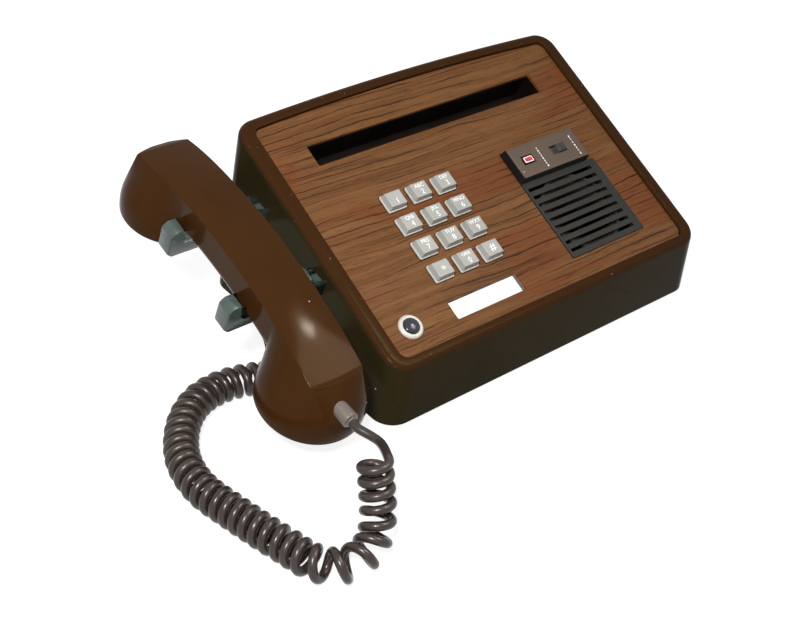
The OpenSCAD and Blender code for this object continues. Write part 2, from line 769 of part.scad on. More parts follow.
// Hook: an arm, a seat under the handle and a chamfered finger each side, hollowed where the cups pass
module hook_fork(s) {
    inner = handle_w / 2 + finger_gap;
    outer = inner + finger_t;
    bevel = 3;
    color(clear) on_handset() difference() {
        translate([0, s + hook_w / 2, seat(s)]) rotate([90, 0, 0]) linear_extrude(hook_w) polygon([
            [bar_x + 3 - eps, -hook_t], [bar_x + 3 - eps, 0], [outer, 0], [outer, finger_h - bevel],
            [outer - bevel, finger_h], [inner + 2, finger_h], [inner, 2], [inner - 2, 0],
            [2 - inner, 0], [-inner, 2], [-inner - 2, finger_h], [bevel - outer, finger_h],
            [-outer, finger_h - bevel], [-outer, bevel - hook_t], [bevel - outer, -hook_t]]);
        for (c = [mouth, ear])
            translate([0, ball(c)[0], -far / 2]) cylinder(r = cap_r + cup_gap, h = far, $fn = 96);
    }
}

module hook_switch() {
    web_x = bar_x + bar_w + 0.6 + 1.6;
    color([0.1, 0.1, 0.12]) translate([handset_x + web_x, 86, 34]) {
        cube([8, 22, 12]);
        translate([2, 2, 12]) cube([4, 14, 2]);
    }
}

// Middle of the half ball over a cap, as a place along the handset and a height
function ball(c) = [c[0] - cap_h * sin(c[2]), c[1] + cap_h * cos(c[2])];
function near_cap(s) = s < handle_l / 2 ? mouth : ear;
function overshoot(s) = s < handle_l / 2 ? -s : s - handle_l;
function ball_end(c, way) = ball(c)[0] + way * cap_r * cos(c[2]) * 0.9986;
function in_ball(s) = let(c = near_cap(s)) s >= ball_end(c, -1) - eps && s <= ball_end(c, 1) + eps;
function slice_r(c, s) = sqrt(max(0, cap_r * cap_r - pow(s - ball(c)[0], 2)));

// Where the line from the tip of the flat back touches the half ball
function touch(c) = let(
    way = c[0] < handle_l / 2 ? -1 : 1,
    s = way < 0 ? -tip : handle_l + tip,
    p = [s, arch(s)] - ball(c),
    a = atan2(p.y, p.x) - way * acos(cap_r / norm(p)))
    ball(c) + cap_r * [cos(a), sin(a)];

// How far a section past the tip is on its way to that point, from 0 to 1
function fall(s) = let(o = overshoot(s), q = overshoot(touch(near_cap(s))[0]))
    o <= tip ? 0 : min(1, (o - tip) / (q - tip));

// Height and half width of the back of the handset at a section
function back_z(s) = let(c = near_cap(s), f = fall(s), s0 = s < handle_l / 2 ? -tip : handle_l + tip)
    f == 0 ? arch(s) : f < 1 ? arch(s0) * (1 - f) + touch(c)[1] * f : ball(c)[1] + slice_r(c, s);
function back_w(s) = let(o = overshoot(s), w = handle_w / 2)
    o <= 0 ? w : o <= tip ? w * sqrt(1 - o / tip_bow)
    : 0.3 + (w * sqrt(1 - tip / tip_bow) - 0.3) * (1 - fall(s));
function under_z(s) = let(c = near_cap(s))
    in_ball(s) ? ball(c)[1] + (s - ball(c)[0]) * tan(c[2]) : arch(s) - handle_t;

// Half width of the ball's section at a height, drawn up to the flat back by a tangent
function ball_w(s, z) = let(
    c = near_cap(s), r = slice_r(c, s), h = z - ball(c)[1],
    p = [back_w(s), back_z(s) - ball(c)[1]],
    a = atan2(p.y, p.x) - acos(min(1, r / norm(p))),
    q = r * [cos(a), sin(a)])
    norm(p) > r && h > q.y ? q.x + (p.x - q.x) * (h - q.y) / (p.y - q.y) : sqrt(max(0, r * r - h * h));

// Half width of the handle's section: upright sides and a rounded underside
function handle_half(s, z) = let(d = arch(s) - z, w = handle_w / 2, r = under_r)
    d < handle_t - r ? w : w - r + sqrt(max(0, r * r - pow(d - handle_t + r, 2)));

function shell_w(s, z) = max(in_ball(s) ? ball_w(s, z) : 0, overshoot(s) <= 0 ? handle_half(s, z) : 0);

tip = 3;
tip_bow = 3.2;
under_r = 7;
// Heights of a section's points, as shares of the way from the back to the underside
levels = [0, 0.08, 0.18, 0.3, 0.42, 0.54, 0.65, 0.73, 0.8, 0.86, 0.91, 0.95, 0.98, 1];
function section(s) = let(
    half = [for (f = levels) let(z = back_z(s) + (under_z(s) - back_z(s)) * f) [shell_w(s, z), z]])
    concat([for (p = half) [p.x, s, p.y]], [for (i = [len(half) - 1:-1:0]) [-half[i].x, s, half[i].y]]);

// Sections along the handset: past the mouth end, over its ball, along the handle, over the ear ball
function shares(a, b, list) = [for (f = list) a + (b - a) * f];
stations = concat(
    shares(ball_end(mouth, -1), -tip - 0.05, [0, 0.03, 0.1, 0.22, 0.4, 0.6, 0.8, 1]),
    [-tip, -2, -1],
    shares(0, ball_end(mouth, 1), [0, 0.12, 0.27, 0.43, 0.6, 0.74, 0.85, 0.93, 0.98, 1]),
    shares(ball_end(mouth, 1) + 0.2, ball_end(ear, -1) - 0.2, [0:0.1:1]),
    shares(ball_end(ear, -1), handle_l, [0, 0.015, 0.05, 0.11, 0.19, 0.3, 0.43, 0.57, 0.72, 0.86, 1]),
    [handle_l + 1, handle_l + 2, handle_l + tip],
    shares(handle_l + tip + 0.05, ball_end(ear, 1), [0, 0.25, 0.5, 0.75, 0.92, 1]));

// Handset shell: one skin over all sections, with a well at each end and a hole for the boot
module handset_shell() {
    color(brown) difference() {
        on_handset() skin([for (s = stations) section(s)]);
        for (c = [mouth, ear])
            on_handset() at_cap(c) cylinder(r = spigot_r + set_gap, h = capsule_h + 3 + 2 * set_gap);
        at_boot() translate([0, 0, -boot_l]) cylinder(r = boot_r + 0.1, h = boot_l);
    }
}

spigot_r = cap_r - 5;
spigot_h = 3;

// Cap: a skirt, a spigot up into the shell's well, a shallow dished face and rings of holes
module handset_cap(c, rings, hole_d) {
    face = 2.2;
    color(brown) on_handset() at_cap(c) difference() {
        rotate_extrude() polygon([
            [0, 0.8], [cap_r - 8, 0.8], [cap_r - 4, 0], [cap_r - 1.5, 0], [cap_r, 1.5], [cap_r, cap_h],
            [spigot_r, cap_h], [spigot_r, cap_h + spigot_h], [spigot_r - 2, cap_h + spigot_h],
            [spigot_r - 2, face + 0.3], [0, face + 0.3]]);
        for (i = [0:rings])
            for (j = [0:max(0, 6 * i - 1)])
                rotate(j * 60 / max(1, i)) translate([i * 6.5, 0, -1]) cylinder(d = hole_d, h = 6);
    }
}

module ear_cap() {
    handset_cap(ear, 1, 2.6);
}

module mouth_cap() {
    handset_cap(mouth, 2, 2);
}

// Sealed capsule with a stepped rim
module capsule(c) {
    color(steel) on_handset() at_cap(c) translate([0, 0, 2.5]) rotate_extrude()
        polygon([[0, 0.6], [capsule_r - 5, 0.6], [capsule_r - 3, 0], [capsule_r, 0],
                 [capsule_r, capsule_h * 0.4],
                 [capsule_r - 4, capsule_h * 0.4], [capsule_r - 7, capsule_h], [0, capsule_h]]);
}

module receiver() {
    capsule(ear);
}

module transmitter() {
    capsule(mouth);
}

boot_at = [-2.3, -21.8, -11.2];
boot_way = [0.04, -0.993, 0.11];
boot_l = 14;
boot_r = 4.8;
function turned(v) = [v.x, v.y * cos(tilt) - v.z * sin(tilt), v.y * sin(tilt) + v.z * cos(tilt)];
boot_end = [handset_x, handset_y, handset_z] + turned(boot_at);
boot_dir = turned(boot_way);

// Places children at the boot's outer face, z along the cord as it leaves
module at_boot() {
    turn = [0, acos(boot_dir.z / norm(boot_dir)), atan2(boot_dir.y, boot_dir.x)];
    translate(boot_end) rotate(turn) children();
}

// Stepped boot that grips the cord where it leaves the handset
module cord_boot() {
    color([0.3, 0.26, 0.23]) at_boot() rotate_extrude() polygon([
        [0, -boot_l], [boot_r, -boot_l], [boot_r, -3], [boot_r - 0.8, -1.6], [3, -0.6], [0, -0.6]]);
}

// Route of the curled length, down from the boot and along the table: x, y, z and the count of curls
curl_route = concat(
    [[-177, -47, 43, 0], [-180, -53.5, 32.5, 1.875], [-183.5, -60, 23, 3.5], [-188.5, -65.5, 15.5, 4.625],
     [-197, -69.5, 11, 5.75]],
    [for (p = [[-209, -70, 6.75], [-218, -65, 7.625], [-223, -56, 8.75], [-226, -44, 10.625],
               [-229, -33, 12.25], [-234, -11, 15.75], [-238, 11, 19.25], [-236, 30, 22], [-229, 46, 24.625],
               [-217, 61, 27.375], [-203, 70.5, 29.75], [-188, 73.5, 32], [-173.5, 71.6, 34.125],
               [-159, 66.5, 36.375], [-146.5, 63, 38.375], [-137.4, 61, 39.5]])
     [p.x, p.y, cord_z, p.z]]);
// Count of curls over which the lean dies away
lean_curls = 6.5;
// Route of the plain length from the boot to the first curl
tail_route = [boot_end, boot_end + 5 * boot_dir, [-161, -32, 35.5]];
rings_per_curl = 8;
tube_sides = 6;

function unit(v) = v / norm(v);
function spline(p, t) = let(
    n = len(p) - 1, i = max(0, min(floor(t), n - 1)), f = t - i,
    a = p[max(i - 1, 0)], b = p[i], c = p[i + 1], d = p[min(i + 2, n)])
    0.5 * (2 * b + (c - a) * f + (2 * a - 5 * b + 4 * c - d) * f * f + (3 * b - a - 3 * c + d) * f * f * f);

// Point of the curl: the route's middle line, swung round it once for each curl and drawn in at the far end
function curl_point(t) = let(
    c = spline(curl_route, t),
    d = spline(curl_route, t + 0.02) - spline(curl_route, t - 0.02),
    way = unit([d.x, d.y, d.z]),
    side = unit([-way.y, way.x, 0]),
    r = curl_r * min(1, (curl_route[len(curl_route) - 1][3] - c[3]) / 1.25),
    a = 360 * c[3],
    lean = curl_lean * max(0, 1 - c[3] / lean_curls),
    up = cos(lean) * cross(way, side) + sin(lean) * way)
    [c.x, c.y, c.z] + r * (cos(a) * side + sin(a) * up);

function curl_steps(i) = round((curl_route[i + 1][3] - curl_route[i][3]) * rings_per_curl);
curl_points = [for (i = [0:len(curl_route) - 2]) for (j = [0:curl_steps(i) - 1])
    curl_point(i + j / curl_steps(i))];
tail_ends = concat(tail_route, [curl_points[0], curl_points[1]]);
tail_points = [for (t = [0:0.34:len(tail_route) - 0.3]) spline(tail_ends, t)];
wall_x = -case_w / 2 - base_flare + 0.2 - grommet_flange - 0.4;
wall_points = [for (x = [-2 * cord_d, -cord_d, 0]) [wall_x + x, grommet_y, cord_z]];
cord_points = concat(tail_points, curl_points, wall_points);

function tangent(p, i) = unit(p[min(i + 1, len(p) - 1)] - p[max(i - 1, 0)]);
// Carries a side vector along the line, so that the tube doesn't twist
function sides(p, i, v, done) = i == len(p) ? done : let(
    t = tangent(p, i), w = unit(v - t * (v * t))) sides(p, i + 1, w, concat(done, [w]));

module tube(p, d, n) {
    e = sides(p, 0, [0, 0, 1], []);
    skin([for (i = [0:len(p) - 1]) let(b = cross(tangent(p, i), e[i]))
          [for (k = [0:n - 1]) p[i] + d / 2 * (cos(360 * k / n) * e[i] + sin(360 * k / n) * b)]]);
}

// Least gap of the cord to itself, between points more than three quarters of a curl apart
function self_gap(p, d) = min([for (i = [0:len(p) - 1]) for (j = [i + 6:1:len(p) - 1])
    norm(p[i] - p[j])]) - d;

module handset_cord() {
    echo("least gap of the cord to itself, mm", self_gap(cord_points, cord_d));
    color([0.22, 0.17, 0.15]) tube(cord_points, cord_d, tube_sides);
}

in_frame() {
    housing();
    base_plate();
    rubber_feet();
    base_screws();
    faceplate();
    card_pocket();
    card_tray();
    number_card();
    card_lens();
    keypad_frame();
    keypad_board();
    for (k = [0:11])
        key_cap(k);
    grille();
    speaker_frame();
    speaker_cone();
    speaker_magnet();
    switch_block();
    red_button();
    slide_knob();
    option_switches();
    button_ring();
    round_button();
    button_switch();
    main_board();
    circuit_parts();
    ringer();
    line_jack();
    cord_grommet();
    cradle_bracket();
    cradle_axle();
    cradle_bar();
    hook_fork(hook_front);  // hook_front_fork
    hook_fork(hook_back);  // hook_back_fork
    hook_switch();
    handset_shell();
    ear_cap();
    mouth_cap();
    receiver();
    transmitter();
    cord_boot();
    handset_cord();
}
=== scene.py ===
"""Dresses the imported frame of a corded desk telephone: finer surfaces, finishes, light and camera."""

from __future__ import annotations

import logging
import math
from collections.abc import Sequence
from dataclasses import dataclass, field
from enum import Enum

import bmesh
import bpy
import numpy as np
from mathutils import Matrix

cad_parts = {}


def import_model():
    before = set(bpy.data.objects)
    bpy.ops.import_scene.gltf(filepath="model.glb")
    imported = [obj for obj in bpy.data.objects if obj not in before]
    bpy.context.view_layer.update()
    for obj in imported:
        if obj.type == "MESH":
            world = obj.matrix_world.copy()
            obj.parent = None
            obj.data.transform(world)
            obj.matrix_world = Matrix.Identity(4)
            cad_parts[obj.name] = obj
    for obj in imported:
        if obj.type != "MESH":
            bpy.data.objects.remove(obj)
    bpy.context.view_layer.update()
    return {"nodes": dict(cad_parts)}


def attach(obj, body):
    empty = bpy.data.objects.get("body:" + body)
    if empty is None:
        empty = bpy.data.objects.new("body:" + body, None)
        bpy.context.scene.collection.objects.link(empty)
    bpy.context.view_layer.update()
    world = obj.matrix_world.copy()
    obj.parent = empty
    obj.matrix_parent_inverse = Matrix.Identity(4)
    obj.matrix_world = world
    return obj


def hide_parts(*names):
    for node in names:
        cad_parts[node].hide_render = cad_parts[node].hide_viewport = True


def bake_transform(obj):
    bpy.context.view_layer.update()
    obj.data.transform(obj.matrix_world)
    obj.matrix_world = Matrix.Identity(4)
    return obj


log = logging.getLogger("telephone")
Array = np.ndarray
Colour = tuple[float, float, float]
Triple = tuple[float, float, float]
Pair = tuple[float, float]
Socket = bpy.types.NodeSocket
MM = 0.001
CRISP = 32.0
CORNER_STEPS = 9
EDGE_STEPS = 23
PAINTS: dict[str, bpy.types.Material] = {}
GROUPS: dict[str, bpy.types.NodeTree] = {}


class Body(Enum):
    """Bodies of the frame that more than one piece rides on."""

    BASE = "base"
    CRADLE = "cradle"
    HANDSET = "handset"


class Ends(Enum):
    """How the first and last row of a grid are closed."""

    OPEN = 0
    FACED = 1
    JOINED = 2


# Sizes and frames


def unit(v: Array) -> Array:
    """Scales vectors in the last axis to length one."""
    return v / np.linalg.norm(v, axis=-1, keepdims=True)


def moved(points: Array, u: float = 0, v: float = 0, h: float = 0) -> Array:
    """Shifts points across, along and up."""
    return points + np.array([u, v, h])


def tilted(points: Array, degrees: float) -> Array:
    """Turns points about the x axis.

    Args:
        points: Points in the last axis.
        degrees: The angle, from y towards z.

    Returns:
        The points (x, y cos a - z sin a, y sin a + z cos a).
    """
    c, s = math.cos(math.radians(degrees)), math.sin(math.radians(degrees))
    x, y, z = np.moveaxis(np.asarray(points, float), -1, 0)
    return np.stack([x, y * c - z * s, y * s + z * c], -1)


@dataclass(frozen=True)
class Desk:
    """Sizes that several sub-assemblies share, in millimetres and degrees."""

    case_w: float = 250.5
    case_d: float = 158.3
    slope: float = 26.3
    front_h: float = 42.2
    panel_y: float = 5.5
    rim_front: float = 6.4
    rim_back: float = 8.3
    rim_w: float = 9.85
    back_bow: float = 2.8
    rim_h: float = 2.2
    panel_t: float = 2.0
    panel_r: float = 5.5
    set_gap: float = 0.3
    handset_gap: float = 37.0
    handset_y: float = 3.5
    handset_z: float = 54.7
    tilt: float = 18.0
    origin: Triple = (-33.15, 89.8477, 0.0)

    @property
    def panel_w(self) -> float:
        """Width of the panel."""
        return self.case_w - 2 * (self.rim_w + self.set_gap)

    @property
    def panel_l(self) -> float:
        """Length of the panel up its slope."""
        return (self.case_d - self.rim_front - self.rim_back) / math.cos(math.radians(self.slope))

    def case(self, p: Array) -> Array:
        """Moves points from the case's millimetres to the frame's metres."""
        return (np.asarray(p, float) - np.array(self.origin)) * MM

    def sloped(self, p: Array) -> Array:
        """Places points of the panel (across, up the slope, out of its face) in the case's millimetres."""
        return moved(tilted(p, self.slope), 0, self.panel_y, self.front_h)

    def hung(self, p: Array) -> Array:
        """Places points of the handset (across, from mouth to ear, up) in the case's millimetres."""
        return moved(tilted(p, self.tilt), -(self.case_w / 2 + self.handset_gap), self.handset_y, self.handset_z)

    def panel(self, p: Array) -> Array:
        """Places points of the panel in the frame's metres."""
        return self.case(self.sloped(p))

    def handset(self, p: Array) -> Array:
        """Places points of the handset in the frame's metres."""
        return self.case(self.hung(p))


DESK = Desk()


# Surfaces


@dataclass
class Skin:
    """Points and faces of one surface, before it becomes a mesh, and which of its piece's finishes it takes."""

    points: Array
    faces: list[list[int]]
    finish: int = 0


def grid(points: Array, ends: Ends = Ends.FACED, finish: int = 0) -> Skin:
    """Quads between the neighbours of a grid of points whose last column joins the first.

    Args:
        points: Array of rows by columns by three.
        ends: Whether the first and last row are left open, faced or joined to each other.
        finish: Which of the piece's finishes the surface takes.

    Returns:
        The surface, where the quad at row i and column j joins rows i, i + 1 and columns j, j + 1.
    """
    rows, cols = points.shape[:2]
    i = np.arange(rows if ends is Ends.JOINED else rows - 1)[:, None]
    j = np.arange(cols)[None, :]
    below, right = (i + 1) % rows, (j + 1) % cols
    quads = np.stack([i * cols + j, i * cols + right, below * cols + right, below * cols + j], -1)
    faces = quads.reshape(-1, 4).tolist()
    if ends is Ends.FACED:
        faces += [list(range(cols))[::-1], list(range((rows - 1) * cols, rows * cols))]
    return Skin(points.reshape(-1, 3), faces, finish)


def on_panel(
    points: Array, u: float = 0, v: float = 0, h: float = 0, ends: Ends = Ends.FACED, finish: int = 0
) -> Skin:
    """Surface over a grid of points that is shifted on the panel."""
    return grid(DESK.panel(moved(points, u, v, h)), ends, finish)


def turned(profile: Sequence[Sequence[float]], steps: int = 96) -> Array:
    """Carries a profile round the z axis.

    Args:
        profile: Pairs of radius and height.
        steps: Number of columns.

    Returns:
        Grid whose point at row i and angle a is (r cos a, r sin a, z).
    """
    r, z = np.array(profile, float).T[:, :, None]
    a = np.linspace(0, 2 * np.pi, steps, endpoint=False)[None, :]
    return np.stack([r * np.cos(a), r * np.sin(a), z + 0 * a], -1)


def eased(corner: Sequence[Sequence[float]], radius: Sequence[float], steps: int = 5) -> Array:
    """Rounds the corners of a closed outline.

    Args:
        corner: Corner points of the outline.
        radius: Distance from each corner at which its rounding starts.
        steps: Points on each rounding.

    Returns:
        Points of one quadratic curve per corner: (1 - t)^2 before + 2 t (1 - t) corner + t^2 after.
    """
    p = np.array(corner, float)
    before, after = (p + unit(np.roll(p, k, 0) - p) * np.array(radius, float)[:, None] for k in (1, -1))
    t = np.linspace(0, 1, steps)[None, :, None]
    curve = (1 - t) ** 2 * before[:, None] + 2 * t * (1 - t) * p[:, None] + t**2 * after[:, None]
    return curve.reshape(-1, p.shape[1])


def fan(bowed: bool = False) -> tuple[Array, Array]:
    """Angles round a rounded rectangle, and the signs of the corner that each belongs to.

    Args:
        bowed: Whether the back edge gets points of its own, between its two corners.

    Returns:
        The angles, a quarter turn for each corner, and an array of their corners' x and y signs; a point of the
        back edge has its share of the way from the middle to a corner in place of the x sign.
    """
    quarter = np.linspace(0, 90, CORNER_STEPS)
    angle = np.radians((quarter[None, :] + 90 * np.arange(4)[:, None]).ravel())
    sign = np.repeat(np.array([[1.0, 1.0], [-1, 1], [-1, -1], [1, -1]]), CORNER_STEPS, 0)
    if bowed:
        share = np.linspace(1, -1, EDGE_STEPS + 2)[1:-1]
        angle = np.insert(angle, CORNER_STEPS, 0 * share + np.pi / 2)
        sign = np.insert(sign, CORNER_STEPS, np.stack([share, 0 * share + 1], -1), 0)
    return angle, sign


def rounded(w: float, l: float, r: float, h: float = 0, u: float = 0, v: float = 0, bow: float | None = None) -> Array:
    """One ring of a rounded rectangle in a level plane.

    Args:
        w: Width.
        l: Length.
        r: Corner radius.
        h: Height of the plane.
        u: Middle across.
        v: Middle along.
        bow: How far the back edge bows out in its middle, or none where it is straight.

    Returns:
        Points: the corner's centre plus r times the direction of each angle, and for a bowed edge
        also bow (1 - share^2) along it.
    """
    angle, sign = fan(bow is not None)
    x = u + sign[:, 0] * (w / 2 - r) + r * np.cos(angle)
    y = v + sign[:, 1] * (l / 2 - r) + r * np.sin(angle) + (bow or 0) * (1 - sign[:, 0] ** 2)
    return np.stack([x, y, h + 0 * x], -1)


def prism(ring: Array, low: float, high: float) -> Array:
    """A ring at two heights."""
    return np.stack([moved(ring, h=low), moved(ring, h=high)])


def block(
    w: float, l: float, low: float, high: float, r: float, edge: float, lean: float = 0, dish: float = 0
) -> Array:
    """Rings of an upright block with an eased top edge.

    Args:
        w: Width at the foot.
        l: Length at the foot.
        low: Height of the foot.
        high: Height of the top.
        r: Radius of the upright corners.
        edge: Radius of the top edge.
        lean: How far each side leans in from foot to top.
        dish: Depth of the hollow in the top.

    Returns:
        Rings from the foot up the sides, round the top edge along a quarter circle, and in over the top.
    """
    quarter = np.radians(np.linspace(0, 90, 5))
    share = np.array([0.25, 0.6, 0.95])
    side = lean + edge * (1 - np.cos(quarter))
    reach = min(w, l) / 2 - side[-1] - max(r, 0.5)
    inset = np.concatenate([[0], side, side[-1] + reach * share])
    height = np.concatenate([[low], high - edge + edge * np.sin(quarter), high - dish * (1 - (1 - share) ** 2)])
    return np.stack([rounded(w - 2 * i, l - 2 * i, max(r - i * 0.3, 0.2), h) for i, h in zip(inset, height)])


# Pieces


def linked(name: str, data: bpy.types.ID) -> bpy.types.Object:
    """Adds an object to the scene.

    Args:
        name: Its name.
        data: Its mesh, curve, lamp or camera.

    Returns:
        The object, at the origin.
    """
    obj = bpy.data.objects.new(name, data)
    bpy.context.scene.collection.objects.link(obj)
    return obj


def evaluated(obj: bpy.types.Object) -> bpy.types.Mesh:
    """A new mesh of an object as its modifiers or its font shape it."""
    bpy.context.view_layer.update()
    return bpy.data.meshes.new_from_object(obj.evaluated_get(bpy.context.evaluated_depsgraph_get()))


def points_of(mesh: bpy.types.Mesh) -> Array:
    """The points of a mesh, a row each."""
    return np.array([v.co for v in mesh.vertices], float)


def tidy(mesh: bpy.types.Mesh, sharp: float) -> None:
    """Merges a mesh's doubles, turns its faces outwards and smooths all but its crisp edges.

    Args:
        mesh: The mesh.
        sharp: Angle between faces past which an edge stays crisp, in degrees.
    """
    bm = bmesh.new()
    bm.from_mesh(mesh)
    bmesh.ops.remove_doubles(bm, verts=bm.verts, dist=2e-6)
    bmesh.ops.dissolve_degenerate(bm, edges=bm.edges, dist=1e-7)
    bmesh.ops.recalc_face_normals(bm, faces=bm.faces)
    bm.to_mesh(mesh)
    bm.free()
    mesh.polygons.foreach_set("use_smooth", [True] * len(mesh.polygons))
    mesh.set_sharp_from_angle(angle=math.radians(sharp))


def joined(name: str, skins: Sequence[Skin], sharp: float) -> bpy.types.Mesh:
    """Joins surfaces to one mesh.

    Args:
        name: Name of the mesh.
        skins: The surfaces, each closed by itself.
        sharp: Angle between faces past which an edge stays crisp, in degrees.

    Returns:
        The mesh, with doubles merged and faces turned outwards.
    """
    mesh = bpy.data.meshes.new(name)
    start = np.cumsum([0] + [len(s.points) for s in skins])
    faces = [[k + int(n) for k in f] for s, n in zip(skins, start) for f in s.faces]
    mesh.from_pydata(np.concatenate([s.points for s in skins]).tolist(), [], faces)
    mesh.polygons.foreach_set("material_index", [s.finish for s in skins for _ in s.faces])
    tidy(mesh, sharp)
    return mesh


def piece(
    name: str,
    skins: Sequence[Skin],
    finishes: Sequence[str],
    body: Body | str | None,
    node: str | None = None,
    sharp: float = CRISP,
) -> bpy.types.Object:
    """Makes one object of some surfaces, in the frame's metres.

    Args:
        name: Name of the piece.
        skins: Its surfaces, each closed by itself.
        finishes: Names of its finishes, in the order that the surfaces count them.
        body: Body that it rides on, or none where it is blended.
        node: Node of the frame that it stands for.
        sharp: Angle between faces past which an edge stays crisp, in degrees.

    Returns:
        The object, at the origin.
    """
    obj = linked(name, joined(name, skins, sharp))
    for finish in finishes:
        obj.data.materials.append(PAINTS[finish])
    if body:
        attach(obj, body.value if isinstance(body, Body) else body)
    if node:
        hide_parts(node)
    log.info("%s: %d faces", name, len(obj.data.polygons))
    return obj


def cut(obj: bpy.types.Object, tools: Sequence[Skin], sharp: float = CRISP) -> None:
    """Cuts closed surfaces out of a piece.

    Args:
        obj: The piece.
        tools: Surfaces to take away, in the frame's metres.
        sharp: Angle past which an edge stays crisp afterwards.
    """
    mesh = joined("tool", tools, sharp)
    tool = linked("tool", mesh)
    change = obj.modifiers.new("cut", "BOOLEAN")
    change.operation, change.solver, change.object = "DIFFERENCE", "EXACT", tool
    done, old = evaluated(obj), obj.data
    obj.modifiers.clear()
    done.name = old.name
    obj.data = done
    bpy.data.meshes.remove(old)
    bpy.data.objects.remove(tool)
    bpy.data.meshes.remove(mesh)
    tidy(done, sharp)


def lettering(text: str, size: float, u: float, v: float, h: float) -> Skin:
    """A word as a thin raised surface on the panel.

    Args:
        text: The word.
        size: Height of its letters.
        u: Middle across the panel.
        v: Middle up the slope.
        h: Height of its foot over the panel.

    Returns:
        The word's surface, centred by its own box.
    """
    curve = bpy.data.curves.new("word", "FONT")
    curve.body, curve.size = text, size * 1.42
    curve.extrude, curve.offset, curve.resolution_u = 0.03, 0.025, 3
    word = linked("word", curve)
    mesh = evaluated(word)
    p, faces = points_of(mesh), [list(f.vertices) for f in mesh.polygons]
    bpy.data.objects.remove(word)
    bpy.data.curves.remove(curve)
    bpy.data.meshes.remove(mesh)
    return Skin(DESK.panel(moved(p - (p.min(0) + p.max(0)) / 2, u, v, h)), faces)


# Node groups


class Weave:
    """Adds nodes to one tree and links them."""

    def __init__(self, tree: bpy.types.NodeTree) -> None:
        """Keeps the tree."""
        self.tree = tree

    def fill(self, node: bpy.types.Node, links: dict[str | int, object]) -> None:
        """Links or sets the inputs of a node.

        Args:
            node: The node.
            links: For each input, a socket to link or a value to set.
        """
        for key, value in links.items():
            if isinstance(value, Socket):
                self.tree.links.new(value, node.inputs[key])
            else:
                node.inputs[key].default_value = value

    def node(self, kind: str, links: dict[str | int, object] | None = None, **settings: object) -> bpy.types.Node:
        """Adds a node.

        Args:
            kind: Blender's name of the node.
            links: For each input, a socket to link or a value to set.
            settings: Attributes of the node.

        Returns:
            The node.
        """
        made = self.tree.nodes.new(kind)
        for key, value in settings.items():
            setattr(made, key, value)
        self.fill(made, links or {})
        return made

    def group(self, name: str, links: dict[str | int, object]) -> bpy.types.NodeOutputs:
        """Adds one of the shared groups and gives its outputs."""
        return self.node("ShaderNodeGroup", links, node_tree=GROUPS[name]).outputs

    def maths(self, operation: str, a: object, b: object = 0.0, clamp: bool = False) -> Socket:
        """Adds one sum of two numbers or sockets."""
        return self.node("ShaderNodeMath", {0: a, 1: b}, operation=operation, use_clamp=clamp).outputs[0]

    def spread(self, value: object, low: float, high: float, to_low: float = 0, to_high: float = 1) -> Socket:
        """Maps a range of a value smoothly to another."""
        ranges = {"Value": value, "From Min": low, "From Max": high, "To Min": to_low, "To Max": to_high}
        return self.node("ShaderNodeMapRange", ranges, interpolation_type="SMOOTHSTEP").outputs["Result"]

    def noise(self, vector: object, scale: object, detail: float = 3, rough: float = 0.55) -> Socket:
        """Adds a noise pattern and gives its value."""
        links = {"Vector": vector, "Scale": scale, "Detail": detail, "Roughness": rough}
        return self.node("ShaderNodeTexNoise", links).outputs["Fac"]

    def mix(self, share: object, a: object, b: object) -> Socket:
        """Mixes two colours by a share."""
        a, b = (v if isinstance(v, Socket) else (*v, 1) for v in (a, b))
        return self.node("ShaderNodeMix", {0: share, 6: a, 7: b}, data_type="RGBA").outputs[2]


def new_group(name: str, inputs: dict[str, float], outputs: Sequence[str]) -> tuple[Weave, bpy.types.NodeOutputs]:
    """Starts a shared group of shader nodes.

    Args:
        name: Name of the group.
        inputs: Its number inputs with their first values, besides a vector.
        outputs: Names of its number outputs.

    Returns:
        The group's nodes, and the sockets of its inputs.
    """
    tree = GROUPS[name] = bpy.data.node_groups.new(name, "ShaderNodeTree")
    tree.interface.new_socket("Vector", in_out="INPUT", socket_type="NodeSocketVector")
    for label, value in inputs.items():
        tree.interface.new_socket(label, in_out="INPUT", socket_type="NodeSocketFloat").default_value = value
    for label in outputs:
        tree.interface.new_socket(label, in_out="OUTPUT", socket_type="NodeSocketFloat")
    w = Weave(tree)
    return w, w.node("NodeGroupInput").outputs


def mottle_group() -> None:
    """Cloudy unevenness of a moulded surface: slow clouds for the colour and fine grain for the height."""
    w, take = new_group("Mottle", {"Scale": 30, "Grain": 900}, ("Cloud", "Grain"))
    cloud = w.spread(w.noise(take["Vector"], take["Scale"], 4, 0.6), 0.3, 0.7)
    w.node("NodeGroupOutput", {"Cloud": cloud, "Grain": w.noise(take["Vector"], take["Grain"], 2, 0.5)})


def speck_group() -> None:
    """Scattered dots of dust: cells of a Voronoi pattern, of which only a share holds a dot."""
    w, take = new_group("Specks", {"Scale": 220, "Share": 0.05, "Size": 0.2}, ("Mask",))
    cell = w.node("ShaderNodeTexVoronoi", {"Vector": take["Vector"], "Scale": take["Scale"]}).outputs
    draw = w.node("ShaderNodeSeparateColor", {0: cell["Color"]}).outputs
    near = w.maths("LESS_THAN", cell["Distance"], w.maths("MULTIPLY", take["Size"], draw[0]))
    w.node("NodeGroupOutput", {"Mask": w.maths("MULTIPLY", near, w.maths("LESS_THAN", draw[1], take["Share"]))})


